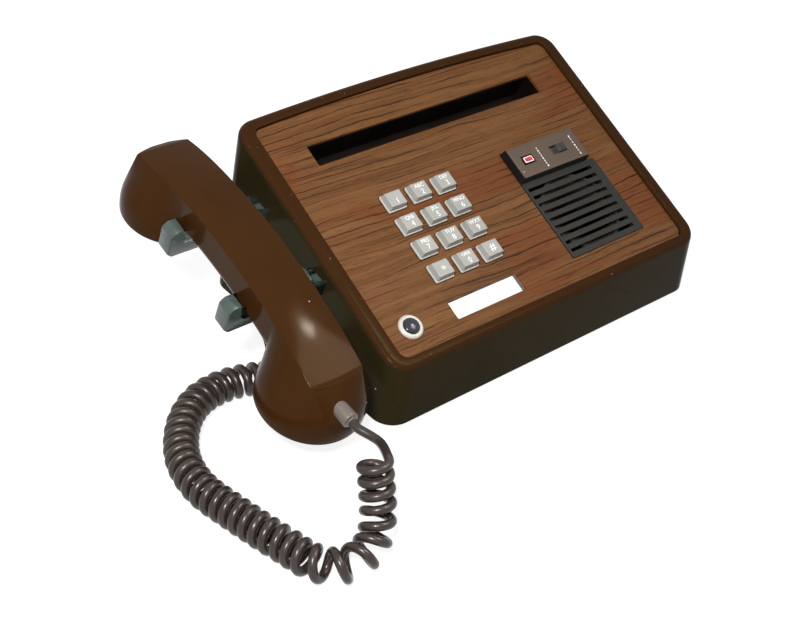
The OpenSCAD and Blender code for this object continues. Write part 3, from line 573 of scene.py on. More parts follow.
def scuff_group() -> None:
    """Hairline scuffs: thin bands of a bent noise, kept only in patches."""
    w, take = new_group("Scuffs", {"Scale": 60, "Width": 0.012}, ("Mask",))
    bent = w.noise(take["Vector"], take["Scale"], 1.5, 0.4)
    band = w.maths("LESS_THAN", w.maths("ABSOLUTE", w.maths("SUBTRACT", bent, 0.5)), take["Width"])
    patch = w.spread(w.noise(take["Vector"], w.maths("MULTIPLY", take["Scale"], 0.8), 2), 0.6, 0.7)
    w.node("NodeGroupOutput", {"Mask": w.maths("MULTIPLY", band, patch)})


def new_material(name: str) -> tuple[Weave, bpy.types.Node]:
    """Starts a material and keeps it under its name.

    Args:
        name: Name of the material.

    Returns:
        The material's nodes, and its shader.
    """
    material = PAINTS[name] = bpy.data.materials.new(name)
    material.use_nodes = True
    return Weave(material.node_tree), material.node_tree.nodes["Principled BSDF"]


# Finishes


@dataclass(frozen=True)
class Moulded:
    """A moulded plastic, rubber or metal: two mottled colours, dust, scuffs, gloss and a fine grain."""

    name: str
    colour: Colour
    second: Colour
    rough: Pair = (0.3, 0.4)
    specular: float = 0.5
    metallic: float = 0.0
    cloud: float = 25.0
    grain: float = 1500.0
    bump: float = 0.05
    bump_depth: float = 0.0004
    dust: float = 0.0
    dust_scale: float = 260.0
    dust_size: float = 0.16
    dust_colour: Colour = (0.45, 0.42, 0.38)
    scuffs: float = 0.0
    # edge: the rim band's colour; only the case uses it, beside walls painted with shade and a green reflection.
    edge: Colour | None = None
    edge_dust: float = 0.0
    edge_dust_scale: float = 780.0
    through: float = 0.0
    alpha: float = 1.0
    # tint: the specular tint; the case's green one is a painted reflection of green surroundings.
    tint: Colour = (1.0, 1.0, 1.0)

    def build(self) -> None:
        """Makes the material, whose patterns read Object coordinates."""
        w, shader = new_material(self.name)
        vector = w.node("ShaderNodeTexCoord").outputs["Object"]
        mottle = w.group("Mottle", {"Vector": vector, "Scale": self.cloud, "Grain": self.grain})
        colour = w.mix(mottle["Cloud"], self.colour, self.second)
        rough = w.spread(mottle["Cloud"], 0, 1, *self.rough)
        # The rim attribute gives the rim band the edge colour; the band reads lighter than the walls because their
        # colour is painted shade and a painted green reflection.
        if self.edge:
            rim = w.node("ShaderNodeAttribute", attribute_name="rim").outputs["Fac"]
            lint = self.specks(w, vector, self.edge_dust_scale, self.edge_dust)
            colour = w.mix(w.maths("MULTIPLY", lint, rim), w.mix(rim, colour, self.edge), self.dust_colour)
        if self.dust:
            colour = w.mix(self.specks(w, vector, self.dust_scale, self.dust), colour, self.dust_colour)
        if self.scuffs:
            scuff = w.maths("MULTIPLY", w.group("Scuffs", {"Vector": vector})["Mask"], self.scuffs)
            rough = w.maths("ADD", rough, scuff, clamp=True)
        relief = {"Strength": self.bump, "Distance": self.bump_depth, "Height": mottle["Grain"]}
        w.fill(shader, {
            "Base Color": colour, "Roughness": rough, "Normal": w.node("ShaderNodeBump", relief).outputs["Normal"],
            "Metallic": self.metallic, "Specular IOR Level": self.specular, "Specular Tint": (*self.tint, 1),
            "Transmission Weight": self.through, "Alpha": self.alpha,
        })

    def specks(self, w: Weave, vector: Socket, scale: float, share: float) -> Socket:
        """Mask of dust in a share of the cells of a pattern that has so many in a metre."""
        return w.group("Specks", {"Vector": vector, "Scale": scale, "Share": share, "Size": self.dust_size})["Mask"]


@dataclass(frozen=True)
class Laminate:
    """Wood-grain laminate: a light ground, long dark rings of growth, fine grain, short pores and a redder figure."""

    name: str = "walnut_laminate"
    ground: Colour = (0.125, 0.05, 0.0165)
    pale: Colour = (0.19, 0.085, 0.031)
    dark: Colour = (0.017, 0.0075, 0.0035)
    red: Colour = (0.16, 0.05, 0.0155)
    rough: Pair = (0.38, 0.5)
    specular: float = 0.06
    rings: float = 190.0

    def build(self) -> None:
        """Makes the material, whose grain runs across the panel in a frame turned by the panel's slope."""
        w, shader = new_material(self.name)
        vector = w.node("ShaderNodeTexCoord").outputs["Object"]
        flat = w.node("ShaderNodeMapping", {"Vector": vector, "Rotation": (-math.radians(DESK.slope), 0, 0)})
        axes = w.node("ShaderNodeSeparateXYZ", {0: flat.outputs[0]})
        along, across = axes.outputs["X"], axes.outputs["Y"]

        def grained(scale_x: float, scale_y: float, across_by: Socket, detail: float, rough: float) -> Socket:
            """Noise drawn out along the grain."""
            x, y = w.maths("MULTIPLY", along, scale_x), w.maths("MULTIPLY", across_by, scale_y)
            return w.noise(w.node("ShaderNodeCombineXYZ", {0: x, 1: y, 2: 0.37}).outputs[0], 1.0, detail, rough)

        def swayed(value: Socket, by: float) -> Socket:
            """A noise about zero, of some width."""
            return w.maths("MULTIPLY", w.maths("SUBTRACT", value, 0.5), by)

        bend, ripple = swayed(grained(4, 13, across, 2, 0.5), 0.027), swayed(grained(35, 90, across, 3, 0.6), 0.0034)
        bent = w.maths("ADD", across, w.maths("ADD", bend, ripple))
        ground = w.mix(w.spread(grained(8, 260, bent, 5, 0.65), 0.32, 0.68), self.ground, self.pale)
        ground = w.mix(w.spread(grained(9, 40, bent, 3, 0.5), 0.5, 0.66, 0, 0.85), ground, self.red)
        lines = w.spread(grained(9, 620, bent, 3, 0.6), 0.54, 0.68, 0, 0.6)
        rings = w.spread(w.maths("SINE", w.maths("MULTIPLY", bent, 2 * math.pi * self.rings)), 0.84, 0.99)
        faint = w.spread(grained(18, 110, across, 3, 0.6), 0.38, 0.62, 0.12, 1)
        pores = w.spread(grained(90, 1500, bent, 2, 0.5), 0.6, 0.7, 0, 0.55)
        grain = w.maths("MULTIPLY", w.maths("MAXIMUM", lines, rings), faint)
        dark = w.maths("MAXIMUM", grain, pores, clamp=True)
        cloud = w.group("Mottle", {"Vector": vector, "Scale": 18})["Cloud"]
        relief = {"Strength": 0.12, "Distance": 0.0003, "Height": w.maths("SUBTRACT", 1.0, dark)}
        w.fill(shader, {
            "Base Color": w.mix(w.maths("MULTIPLY", dark, 0.9), ground, self.dark),
            "Roughness": w.spread(cloud, 0, 1, *self.rough), "Specular IOR Level": self.specular,
            "Normal": w.node("ShaderNodeBump", relief).outputs["Normal"],
        })


FINISHES: tuple[Moulded | Laminate, ...] = (
    # case_brown paints light: the walls' dark olive colour and green specular tint are painted shade of the sides and
    # a painted green reflection; the edge colour, on the rim band, is the plastic's warmer brown.
    Moulded("case_brown", (0.0205, 0.016, 0.006), (0.027, 0.02, 0.008), (0.16, 0.24), 0.025, dust=0.012, scuffs=0.3,
            edge=(0.042, 0.0163, 0.0056), edge_dust=0.05, bump=0.02, tint=(0.7, 1.0, 0.55)),
    Moulded("handset_brown", (0.042, 0.0155, 0.0036), (0.048, 0.018, 0.0045), (0.1, 0.15), 0.045, dust=0.01,
            scuffs=0.25, bump=0.015, dust_size=0.2, tint=(1.0, 0.95, 0.75)),
    Moulded("base_black", (0.02, 0.02, 0.02), (0.03, 0.03, 0.03), (0.5, 0.62), bump=0.15),
    Moulded("rubber", (0.03, 0.028, 0.026), (0.045, 0.04, 0.037), (0.6, 0.75), 0.3, bump=0.1),
    Moulded("boot_grey", (0.12, 0.098, 0.082), (0.145, 0.12, 0.102), (0.3, 0.4), 0.4, bump=0.06),
    Moulded("steel", (0.55, 0.55, 0.57), (0.62, 0.62, 0.63), (0.28, 0.4), metallic=1.0),
    Moulded("capsule_metal", (0.6, 0.6, 0.6), (0.5, 0.5, 0.5), (0.3, 0.45), metallic=1.0, bump=0.04),
    # Near-black for the card's pocket and tray: a painted shadow of the window's recess.
    Moulded("slot_black", (0.004, 0.0025, 0.0018), (0.006, 0.004, 0.003), (0.45, 0.6), 0.05, dust=0.002, bump=0.1),
    Moulded("card_white", (0.92, 0.92, 0.9), (0.95, 0.95, 0.94), (0.7, 0.8), 0.2),
    Moulded("inner_black", (0.02, 0.02, 0.022), (0.032, 0.032, 0.034), (0.45, 0.6), 0.3, bump=0.1),
    Moulded("board_green", (0.02, 0.11, 0.05), (0.03, 0.15, 0.07), (0.35, 0.5), bump=0.1, cloud=90),
    Moulded("key_grey", (0.34, 0.345, 0.325), (0.39, 0.39, 0.37), (0.34, 0.46), 0.3, bump=0.08, dust=0.01,
            dust_colour=(0.25, 0.23, 0.2)),
    Moulded("key_rim", (0.46, 0.475, 0.435), (0.52, 0.53, 0.49), (0.36, 0.46), 0.3),
    Moulded("legend_white", (0.9, 0.9, 0.88), (0.94, 0.94, 0.92), (0.45, 0.55), 0.3, bump=0.02),
    Moulded("grille_black", (0.0105, 0.0115, 0.0095), (0.0155, 0.0165, 0.014), (0.36, 0.48), 0.15, bump=0.2,
            dust=0.008),
    # cone_paper: near-black so that the grille's gaps show dark; painted shade of the speaker's cavity.
    Moulded("cone_paper", (0.016, 0.009, 0.005), (0.024, 0.013, 0.007), (0.35, 0.5), 0.2, bump=0.2),
    Moulded("block_top", (0.078, 0.05, 0.033), (0.09, 0.059, 0.04), (0.42, 0.52), 0.25, bump=0.12, dust=0.006),
    Moulded("block_side", (0.006, 0.006, 0.0055), (0.01, 0.01, 0.009), (0.35, 0.45), 0.2),
    Moulded("button_red", (0.56, 0.012, 0.03), (0.62, 0.02, 0.04), (0.25, 0.35), 0.4, bump=0.03),
    Moulded("knob_black", (0.058, 0.056, 0.05), (0.072, 0.068, 0.062), (0.32, 0.42), 0.3),
    Moulded("ring_cream", (0.5, 0.475, 0.41), (0.57, 0.545, 0.48), (0.22, 0.32), 0.4, bump=0.02),
    Moulded("button_dark", (0.012, 0.016, 0.028), (0.018, 0.022, 0.036), (0.12, 0.2), 0.4, bump=0.01),
    Moulded("cord_brown", (0.024, 0.016, 0.0125), (0.032, 0.0215, 0.0175), (0.27, 0.36), 0.42),
    Moulded("frosted_clear", (0.075, 0.112, 0.096), (0.115, 0.158, 0.138), (0.2, 0.32), 0.35, through=0.4,
            bump=0.08),
    Moulded("clear_lens", (0.97, 0.98, 0.97), (0.99, 0.99, 0.99), (0.02, 0.05), 0.3, alpha=0.06, bump=0.0),
    Laminate(),
)


# Sub-assemblies


@dataclass
class Case:
    """The case: a rounded wedge, open at the top for the panel."""

    corner_r: float = 13.4
    edge_r: float = 4.2
    wall: float = 3.0
    base_flare: float = 1.7
    back_lean: float = 15.0
    wall_lean: Pair = (0.13, 0.022)
    foot_h: float = 1.6
    foot_edge: float = 0.5
    ledge_w: float = 4.0
    ledge_t: float = 2.5
    lip: float = 0.7
    edge_steps: int = 10
    arm_l: float = 8.7
    arm_w: float = 10.7
    arm_h: float = 10.2
    arm_gap: float = 0.35
    arm_x: float = 39.35
    grommet_r: float = 3.8
    grommet: Triple = (0.2, 61.0, 9.8)
    jack_w: float = 14.6
    jack: Triple = (60.0, 171.1, 20.0)
    rim_mark: Pair = (3.2, 2.4)

    def plan(self, inset: float, h: float = 0, flare: float = 0, lean: float = 0) -> Array:
        """Plan of the walls.

        Args:
            inset: Distance inside the outer face.
            h: Height of the plan.
            flare: How far the side walls lie outside their place at the rim.
            lean: How far the back wall lies outside its place at the rim.

        Returns:
            Ring of a rounded rectangle.
        """
        width, depth = DESK.case_w + 2 * (flare - inset), DESK.case_d + lean
        middle = DESK.panel_y - DESK.rim_front + depth / 2
        return rounded(width, depth - 2 * inset, self.corner_r - inset, h, 0, middle, DESK.back_bow)

    def under(self, x: Array, y: Array, h: float) -> Array:
        """Lifts a plan to a plane that is parallel to the panel.

        Args:
            x: Places across.
            y: Places along.
            h: Distance of the plane over the panel's face.

        Returns:
            The points, in the case's millimetres.
        """
        slope = math.radians(DESK.slope)
        z = DESK.front_h + (y - DESK.panel_y) * math.tan(slope) + h / math.cos(slope)
        return np.stack([x, y, z], -1)

    def rim_edge(self) -> Array:
        """Rounded outer edge of the rim.

        Returns:
            Rings of a tube of radius edge_r bent round the sloping rim, from where its side meets the wall
            (tan p = -sin a tan slope, at the angle a round the corner, plus the wall's lean) to its top
            (p = 90 degrees).
        """
        slope = math.radians(DESK.slope)
        angle, sign = fan(True)
        bend = self.corner_r - self.edge_r
        reach = DESK.case_d / 2 - bend * math.cos(slope) - self.edge_r
        x = sign[:, 0] * (DESK.case_w / 2 - self.corner_r) + bend * np.cos(angle)
        y = DESK.panel_y - DESK.rim_front + DESK.case_d / 2 + sign[:, 1] * reach
        y += bend * np.sin(angle) * math.cos(slope) + DESK.back_bow * (1 - sign[:, 0] ** 2)
        middle = self.under(x, y, DESK.rim_h - self.edge_r)
        out = np.stack([np.cos(angle), np.sin(angle) * math.cos(slope), np.sin(angle) * math.sin(slope)], -1)
        top = np.array([0, -math.sin(slope), math.cos(slope)])
        back, side = self.wall_lean
        lean = back * np.maximum(np.sin(angle), 0) ** 2 + side * np.cos(angle) ** 2
        first = lean - np.arctan(np.sin(angle) * math.tan(slope))
        share = np.linspace(0, 1, self.edge_steps)[:, None]
        p = (first[None, :] * (1 - share) + share * np.pi / 2)[:, :, None]
        return middle[None] + self.edge_r * (np.cos(p) * out[None] + np.sin(p) * top)

    def opening(self, grow: float, h: float) -> Array:
        """Ring round the panel's place, grown by a distance, at a height over the panel, in the case's frame."""
        w, l, bow = DESK.panel_w, DESK.panel_l, DESK.back_bow / math.cos(math.radians(DESK.slope))
        return DESK.sloped(rounded(w + 2 * grow, l + 2 * grow, DESK.panel_r + max(grow, 0), h, 0, l / 2, bow))

    def shell(self) -> Array:
        """Surface of the whole wall.

        Returns:
            Rings of the foot, the outer face, the rim, the ledge and the inner face.
        """
        spread = (self.base_flare, self.back_lean)
        foot = [self.plan(self.foot_edge, self.foot_h, *spread), self.plan(0, self.foot_h + self.foot_edge, *spread)]
        gap, low = DESK.set_gap, -DESK.panel_t
        lip = [self.opening(gap + self.lip * (1 - math.cos(a)), DESK.rim_h - self.lip * (1 - math.sin(a)))
               for a in np.radians(np.linspace(90, 0, 5))]
        steps = ((gap, low), (-self.ledge_w, low), (-self.ledge_w, low - self.ledge_t))
        ledge = [self.opening(grow, h) for grow, h in steps]
        x, y, _ = self.plan(self.wall).T
        inner = [self.under(x, y, low - self.ledge_t), self.plan(self.wall, self.foot_h, *spread)]
        return np.concatenate([np.stack(foot), self.rim_edge(), np.stack(lip + ledge + inner)])

    def holes(self, hooks: Hooks) -> list[Skin]:
        """Openings in the walls.

        Args:
            hooks: The hooks, whose arms come through.

        Returns:
            Surfaces to cut: two for the arms, one for the grommet and one for the line socket.
        """
        tools = []
        for s in (hooks.front, hooks.back):
            foot = hooks.seat(s) - hooks.thick - self.arm_gap
            ring = rounded(self.arm_l, self.arm_w, 0.3, 0, self.arm_x, s)
            tools.append(grid(DESK.handset(prism(ring, foot, foot + self.arm_h))))
        hole = turned([[self.grommet_r, -6], [self.grommet_r, 6]], 48)[:, :, [2, 1, 0]]
        hole = moved(hole, -DESK.case_w / 2 - self.base_flare)
        jack = prism(rounded(self.jack_w, self.jack_w, 0.4), -12, 12)[:, :, [0, 2, 1]]
        return tools + [grid(DESK.case(moved(p, *at))) for p, at in ((hole, self.grommet), (jack, self.jack))]

    def build(self, hooks: Hooks) -> None:
        """Makes the case, cuts its openings and marks its rim band, which keeps the plastic's brown beside walls
        painted with shade and a green reflection.

        Args:
            hooks: The hooks, whose arms come through.
        """
        skin = grid(DESK.case(self.shell()), Ends.JOINED)
        obj = piece("case_shell", [skin], ["case_brown"], Body.BASE, "housing")
        cut(obj, self.holes(hooks))
        # The rim band near the rim's top takes the edge colour; the walls outside it carry painted shade and a painted
        # green reflection.
        _, y, z = (points_of(obj.data) / MM + np.array(DESK.origin)).T
        slope = math.radians(DESK.slope)
        high = (z - DESK.front_h) * math.cos(slope) - (y - DESK.panel_y) * math.sin(slope)
        depth, fade = self.rim_mark
        rim = np.clip((high - DESK.rim_h + depth) / fade, 0, 1)
        obj.data.attributes.new("rim", "FLOAT", "POINT").data.foreach_set("value", rim.astype(np.float32))


@dataclass
class Keypad:
    """Twelve keys: a pale flange, a leaning cap with a slightly hollow top, a stem and a legend."""

    u: float = -60.8
    v: float = 38.6
    pitch_u: float = 19.05
    pitch_v: float = 16.7
    foot: Pair = (12.3, 10.7)
    lean: float = 0.62
    dish: float = 0.12
    flange: Pair = (13.4, 11.8)
    height: float = 5.2
    lift: float = 0.2
    flange_t: float = 1.0
    stem: Pair = (6.0, 5.0)
    stem_l: float = 10.3
    sunk: float = 0.06
    legends: dict[str, tuple[str, str]] = field(default_factory=lambda: {
        "key_star": ("", "*"), "key_0": ("OPER", "0"), "key_hash": ("", "#"),
        "key_7": ("PRS", "7"), "key_8": ("TUV", "8"), "key_9": ("WXY", "9"),
        "key_4": ("GHI", "4"), "key_5": ("JKL", "5"), "key_6": ("MNO", "6"),
        "key_1": ("", "1"), "key_2": ("ABC", "2"), "key_3": ("DEF", "3"),
    })

    def build(self) -> None:
        """Makes the keys in rows of three from the front, each riding on its own body."""
        top = self.lift + self.flange_t
        flange = block(*self.flange, self.lift, top, 0.9, 0.25)
        cap = block(*self.foot, top - 0.1, self.height, 0.5, 0.25, self.lean, self.dish)
        stem = block(*self.stem, -self.stem_l, self.lift + 0.1, 0.5, 0.05)
        rise = self.height - self.sunk
        for k, (name, (word, digit)) in enumerate(self.legends.items()):
            u, v = self.u + k % 3 * self.pitch_u, self.v + k // 3 * self.pitch_v
            skins = [on_panel(p, u, v, finish=f) for p, f in ((flange, 1), (cap, 0), (stem, 0))]
            piece(f"{name}_cap", skins, ["key_grey", "key_rim"], name, name)
            size, drop = (5.0, 0.2) if digit in "*#" else (3.5, 1.7)
            signs = [lettering(digit, size, u + 0.3, v - drop, rise)]
            if word:
                signs.append(lettering(word, 2.5 if len(word) < 4 else 1.9, u + 0.1, v + 2.5, rise))
            piece(f"{name}_legend", signs, ["legend_white"], name)


@dataclass
class Controls:
    """The switch block with its red button and slide switch, the number card, and the round button in its ring."""

    block_u: float = 57.2
    block_v: float = 82.2
    block_w: float = 58.0
    block_l: float = 24.0
    block_h: float = 5.6
    block_r: float = 0.9
    sunk: float = 3.4
    lean: float = 0.9
    red_u: float = 40.3
    red: Pair = (7.4, 4.2)
    well: Pair = (10.0, 6.4)
    well_depth: float = 2.2
    knob_u: float = 68.6
    knob: Pair = (7.0, 5.6)
    ridge_pitch: float = 1.8
    slot_u: float = 66.2
    slot: Pair = (12.5, 6.3)
    slot_depth: float = 3.0
    tool_top: float = 20.0
    ticks: tuple[tuple[float, int], ...] = ((51.1, 8), (79.8, 7))
    ticks_v: float = 72.9
    ticks_l: float = 15.4
    window: tuple[float, float, float, float] = (-42, 14.5, 52.7, 11.7)
    window_depth: float = 2
    round_at: Pair = (-98.7, 15.6)
    crown_r: float = 4.2

    def build(self) -> None:
        """Makes the block, its two controls, its tick rows, the number card and the round button."""
        rings = block(self.block_w, self.block_l, -self.sunk, self.block_h, self.block_r, 0.5, self.lean)
        level = rounded(self.block_w, self.block_l, self.block_r)[None]
        rings = np.concatenate([rings[:1], level, rings[1:]])
        rows, cols = rings.shape[:2]
        sides = on_panel(rings[:5], self.block_u, self.block_v, 0, Ends.OPEN, 1)
        sides.faces.append(list(range(cols))[::-1])
        top = on_panel(rings[4:], self.block_u, self.block_v, 0, Ends.OPEN)
        top.faces.append(list(range((rows - 5) * cols, (rows - 4) * cols)))
        obj = piece("switch_block_body", [sides, top], ["block_top", "block_side"], Body.BASE,
                    "switch_block")
        well = rounded(*self.well, 0.4, 0, self.red_u, self.block_v)
        slot = rounded(*self.slot, 0.3, 0, self.slot_u, self.block_v)
        depths = ((well, self.well_depth), (slot, self.slot_depth))
        cut(obj, [on_panel(prism(ring, self.block_h - depth, self.tool_top)) for ring, depth in depths])
        self.build_red()
        self.build_knob()
        self.build_ticks()
        self.build_card()
        self.build_round()

    def build_red(self) -> None:
        """Makes the red button: a dark stem, a thin white bezel on it and a red face."""
        top, (w, l) = self.block_h + 0.4, self.red
        stem = block(w, l, -0.5, top - 0.12, 0.5, 0.2)
        bezel = block(w - 0.3, l - 0.3, top - 0.3, top, 0.4, 0.08)
        face = block(w - 1.7, l - 1.5, top - 0.4, top + 0.1, 0.3, 0.05)
        skins = [on_panel(p, self.red_u, self.block_v, finish=i) for i, p in enumerate((stem, bezel, face))]
        piece("red_button_cap", skins, ["block_side", "legend_white", "button_red"], "red_button", "red_button")

    def build_knob(self) -> None:
        """Makes the slide switch's knob with three ridges across it."""
        foot, top = self.block_h - self.slot_depth + 0.25, self.block_h + 1.2
        ridge = block(0.9, self.knob[1] - 0.9, top - 0.3, top + 0.7, 0.25, 0.25)
        skins = [on_panel(block(*self.knob, foot, top, 0.4, 0.3, 0.3), self.knob_u, self.block_v)]
        skins += [on_panel(ridge, self.knob_u + i * self.ridge_pitch, self.block_v) for i in (-1, 0, 1)]
        piece("slide_knob_cap", skins, ["knob_black"], "slide_knob", "slide_knob")

    def build_ticks(self) -> None:
        """Makes two rows of white ticks across the block's top, one beside each control."""
        skins = []
        for u, count in self.ticks:
            step = self.ticks_l / count
            for i in range(count):
                tick = rounded(0.55 if i % 3 else 0.85, step * (0.62 if i % 2 else 0.74), 0.1)
                tick = prism(tick, self.block_h - 0.03, self.block_h + 0.04)
                skins.append(on_panel(tick, u, self.ticks_v + (i + 0.5) * step))
        piece("block_ticks", skins, ["legend_white"], Body.BASE)

    def build_card(self) -> None:
        """Makes the number card, which ends short of its window's right end and shows the dark tray there, a painted
        shadow of the window's recess.
        """
        u, v, w, l = self.window
        skin = on_panel(block(w - 1.7, l - 0.5, 0, 0.5, 0.3, 0.05), u - 0.7, v - 0.1, -self.window_depth)
        piece("card_sheet", [skin], ["card_white"], Body.BASE, "number_card")

    def build_round(self) -> None:
        """Makes the pale ring and its crowned button, both turned about the panel's normal."""
        ring = [[5.0, -2], [6, -2], [6, 0], [7.3, 0], [7.5, 0.2], [7.5, 0.7], [7.3, 1.15], [6.8, 1.6], [6.3, 1.8],
                [5.5, 1.8], [5.15, 1.65], [5.0, 1.4]]
        skin = on_panel(turned(ring), *self.round_at, 0, Ends.JOINED)
        piece("round_ring", [skin], ["ring_cream"], Body.BASE, "button_ring")
        crown = [[x, 3.7 - x * x / 20] for x in np.linspace(0, self.crown_r, 9)]
        crown += [[4.5, 2.6], [4.65, 2.2], [4.65, -6], [0, -6]]
        skin = on_panel(turned(crown), *self.round_at, 0, Ends.OPEN)
        piece("round_button_cap", [skin], ["button_dark"], "round_button", "round_button")


@dataclass
class Hooks:
    """Two clear hooks that hold the handle, on the rocking bar inside the case."""

    front: float = 63.5
    back: float = 121.0
    width: float = 10.0
    thick: float = 8.0
    finger: float = 12.0
    finger_t: float = 10.0
    play: float = 1.5
    bevel: float = 3.0
    edge: float = 0.7
    arm: float = 19.25
    crisp: float = 25.0
    cup_r: float = 33.5
    cups: Pair = (11.2, 152.2)
    handle_w: float = 33.0
    handle_t: float = 24.0
    handle_l: float = 173.0
    arch_h: float = 13.0

    def arch(self, s: Array | float) -> Array | float:
        """Height of the handle's back, a circle through both ends that rises by arch_h in the middle."""
        r = ((self.handle_l / 2) ** 2 + self.arch_h**2) / (2 * self.arch_h)
        return np.sqrt(r * r - (s - self.handle_l / 2) ** 2) - r + self.arch_h

    def seat(self, s: float) -> float:
        """Height of a hook's seat, just under the handle."""
        return float(min(self.arch(s - self.width / 2), self.arch(s + self.width / 2))) - self.handle_t - 0.3

    def rows(self) -> list[tuple[Array, float]]:
        """Sections of a hook.

        Returns:
            The hook's outline with its place along the handle, drawn in at both ends for an eased edge.
        """
        inner = self.handle_w / 2 + self.play
        outer, high, t, bevel = inner + self.finger_t, self.finger, self.thick, self.bevel
        bar = DESK.handset_gap + self.arm
        outline = [[bar, -t], [bar, 0], [outer, 0], [outer, high - bevel], [outer - bevel, high], [inner + 2, high],
                   [inner, 2], [inner - 2, 0], [2 - inner, 0], [-inner, 2], [-inner - 2, high], [bevel - outer, high],
                   [-outer, high - bevel], [-outer, bevel - t], [bevel - outer, -t]]
        soft = [0.05, 0.05, 1, 0.6, 0.6, 0.6, 0.8, 0.8, 0.8, 0.8, 0.6, 0.6, 0.6, 0.6, 0.6]
        edge, half = self.edge, self.width / 2
        ring = eased(outline, soft)
        pull = self.inward(ring, edge)
        soft_ring = ring * 0.7 + pull * 0.3
        return [(pull, -half), (soft_ring, -half + edge * 0.3), (ring, -half + edge), (ring, half - edge),
                (soft_ring, half - edge * 0.3), (pull, half)]

    def build(self) -> None:
        """Makes each hook: its outline drawn out along the handle and hollowed for the nearer cup."""
        cup = turned([[0, -120], [self.cup_r, -120], [self.cup_r, 120], [0, 120]], 128)
        for node, s in (("hook_front_fork", self.front), ("hook_back_fork", self.back)):
            points = np.stack([np.stack([r[:, 0], 0 * r[:, 0] + s + along, r[:, 1] + self.seat(s)], -1)
                               for r, along in self.rows()])
            obj = piece(f"{node}_clear", [grid(DESK.handset(points))], ["frosted_clear"], Body.CRADLE, node,
                        self.crisp)
            near = min(self.cups, key=lambda c: abs(c - s))
            if abs(near - s) < self.cup_r + self.width / 2:
                cut(obj, [grid(DESK.handset(moved(cup, 0, near)))], self.crisp)

    @staticmethod
    def inward(ring: Array, by: float) -> Array:
        """Moves a closed outline's points inwards.

        Args:
            ring: The outline.
            by: The distance.

        Returns:
            The points, moved along the mean normal of their two edges.
        """
        before, after = np.roll(ring, 1, 0), np.roll(ring, -1, 0)
        way = after - before
        normal = np.stack([way[:, 1], -way[:, 0]], -1)
        normal /= np.linalg.norm(normal, axis=1, keepdims=True) + 1e-9
        area = np.sum(ring[:, 0] * after[:, 1] - after[:, 0] * ring[:, 1])
        return ring - normal * by * (1 if area > 0 else -1)


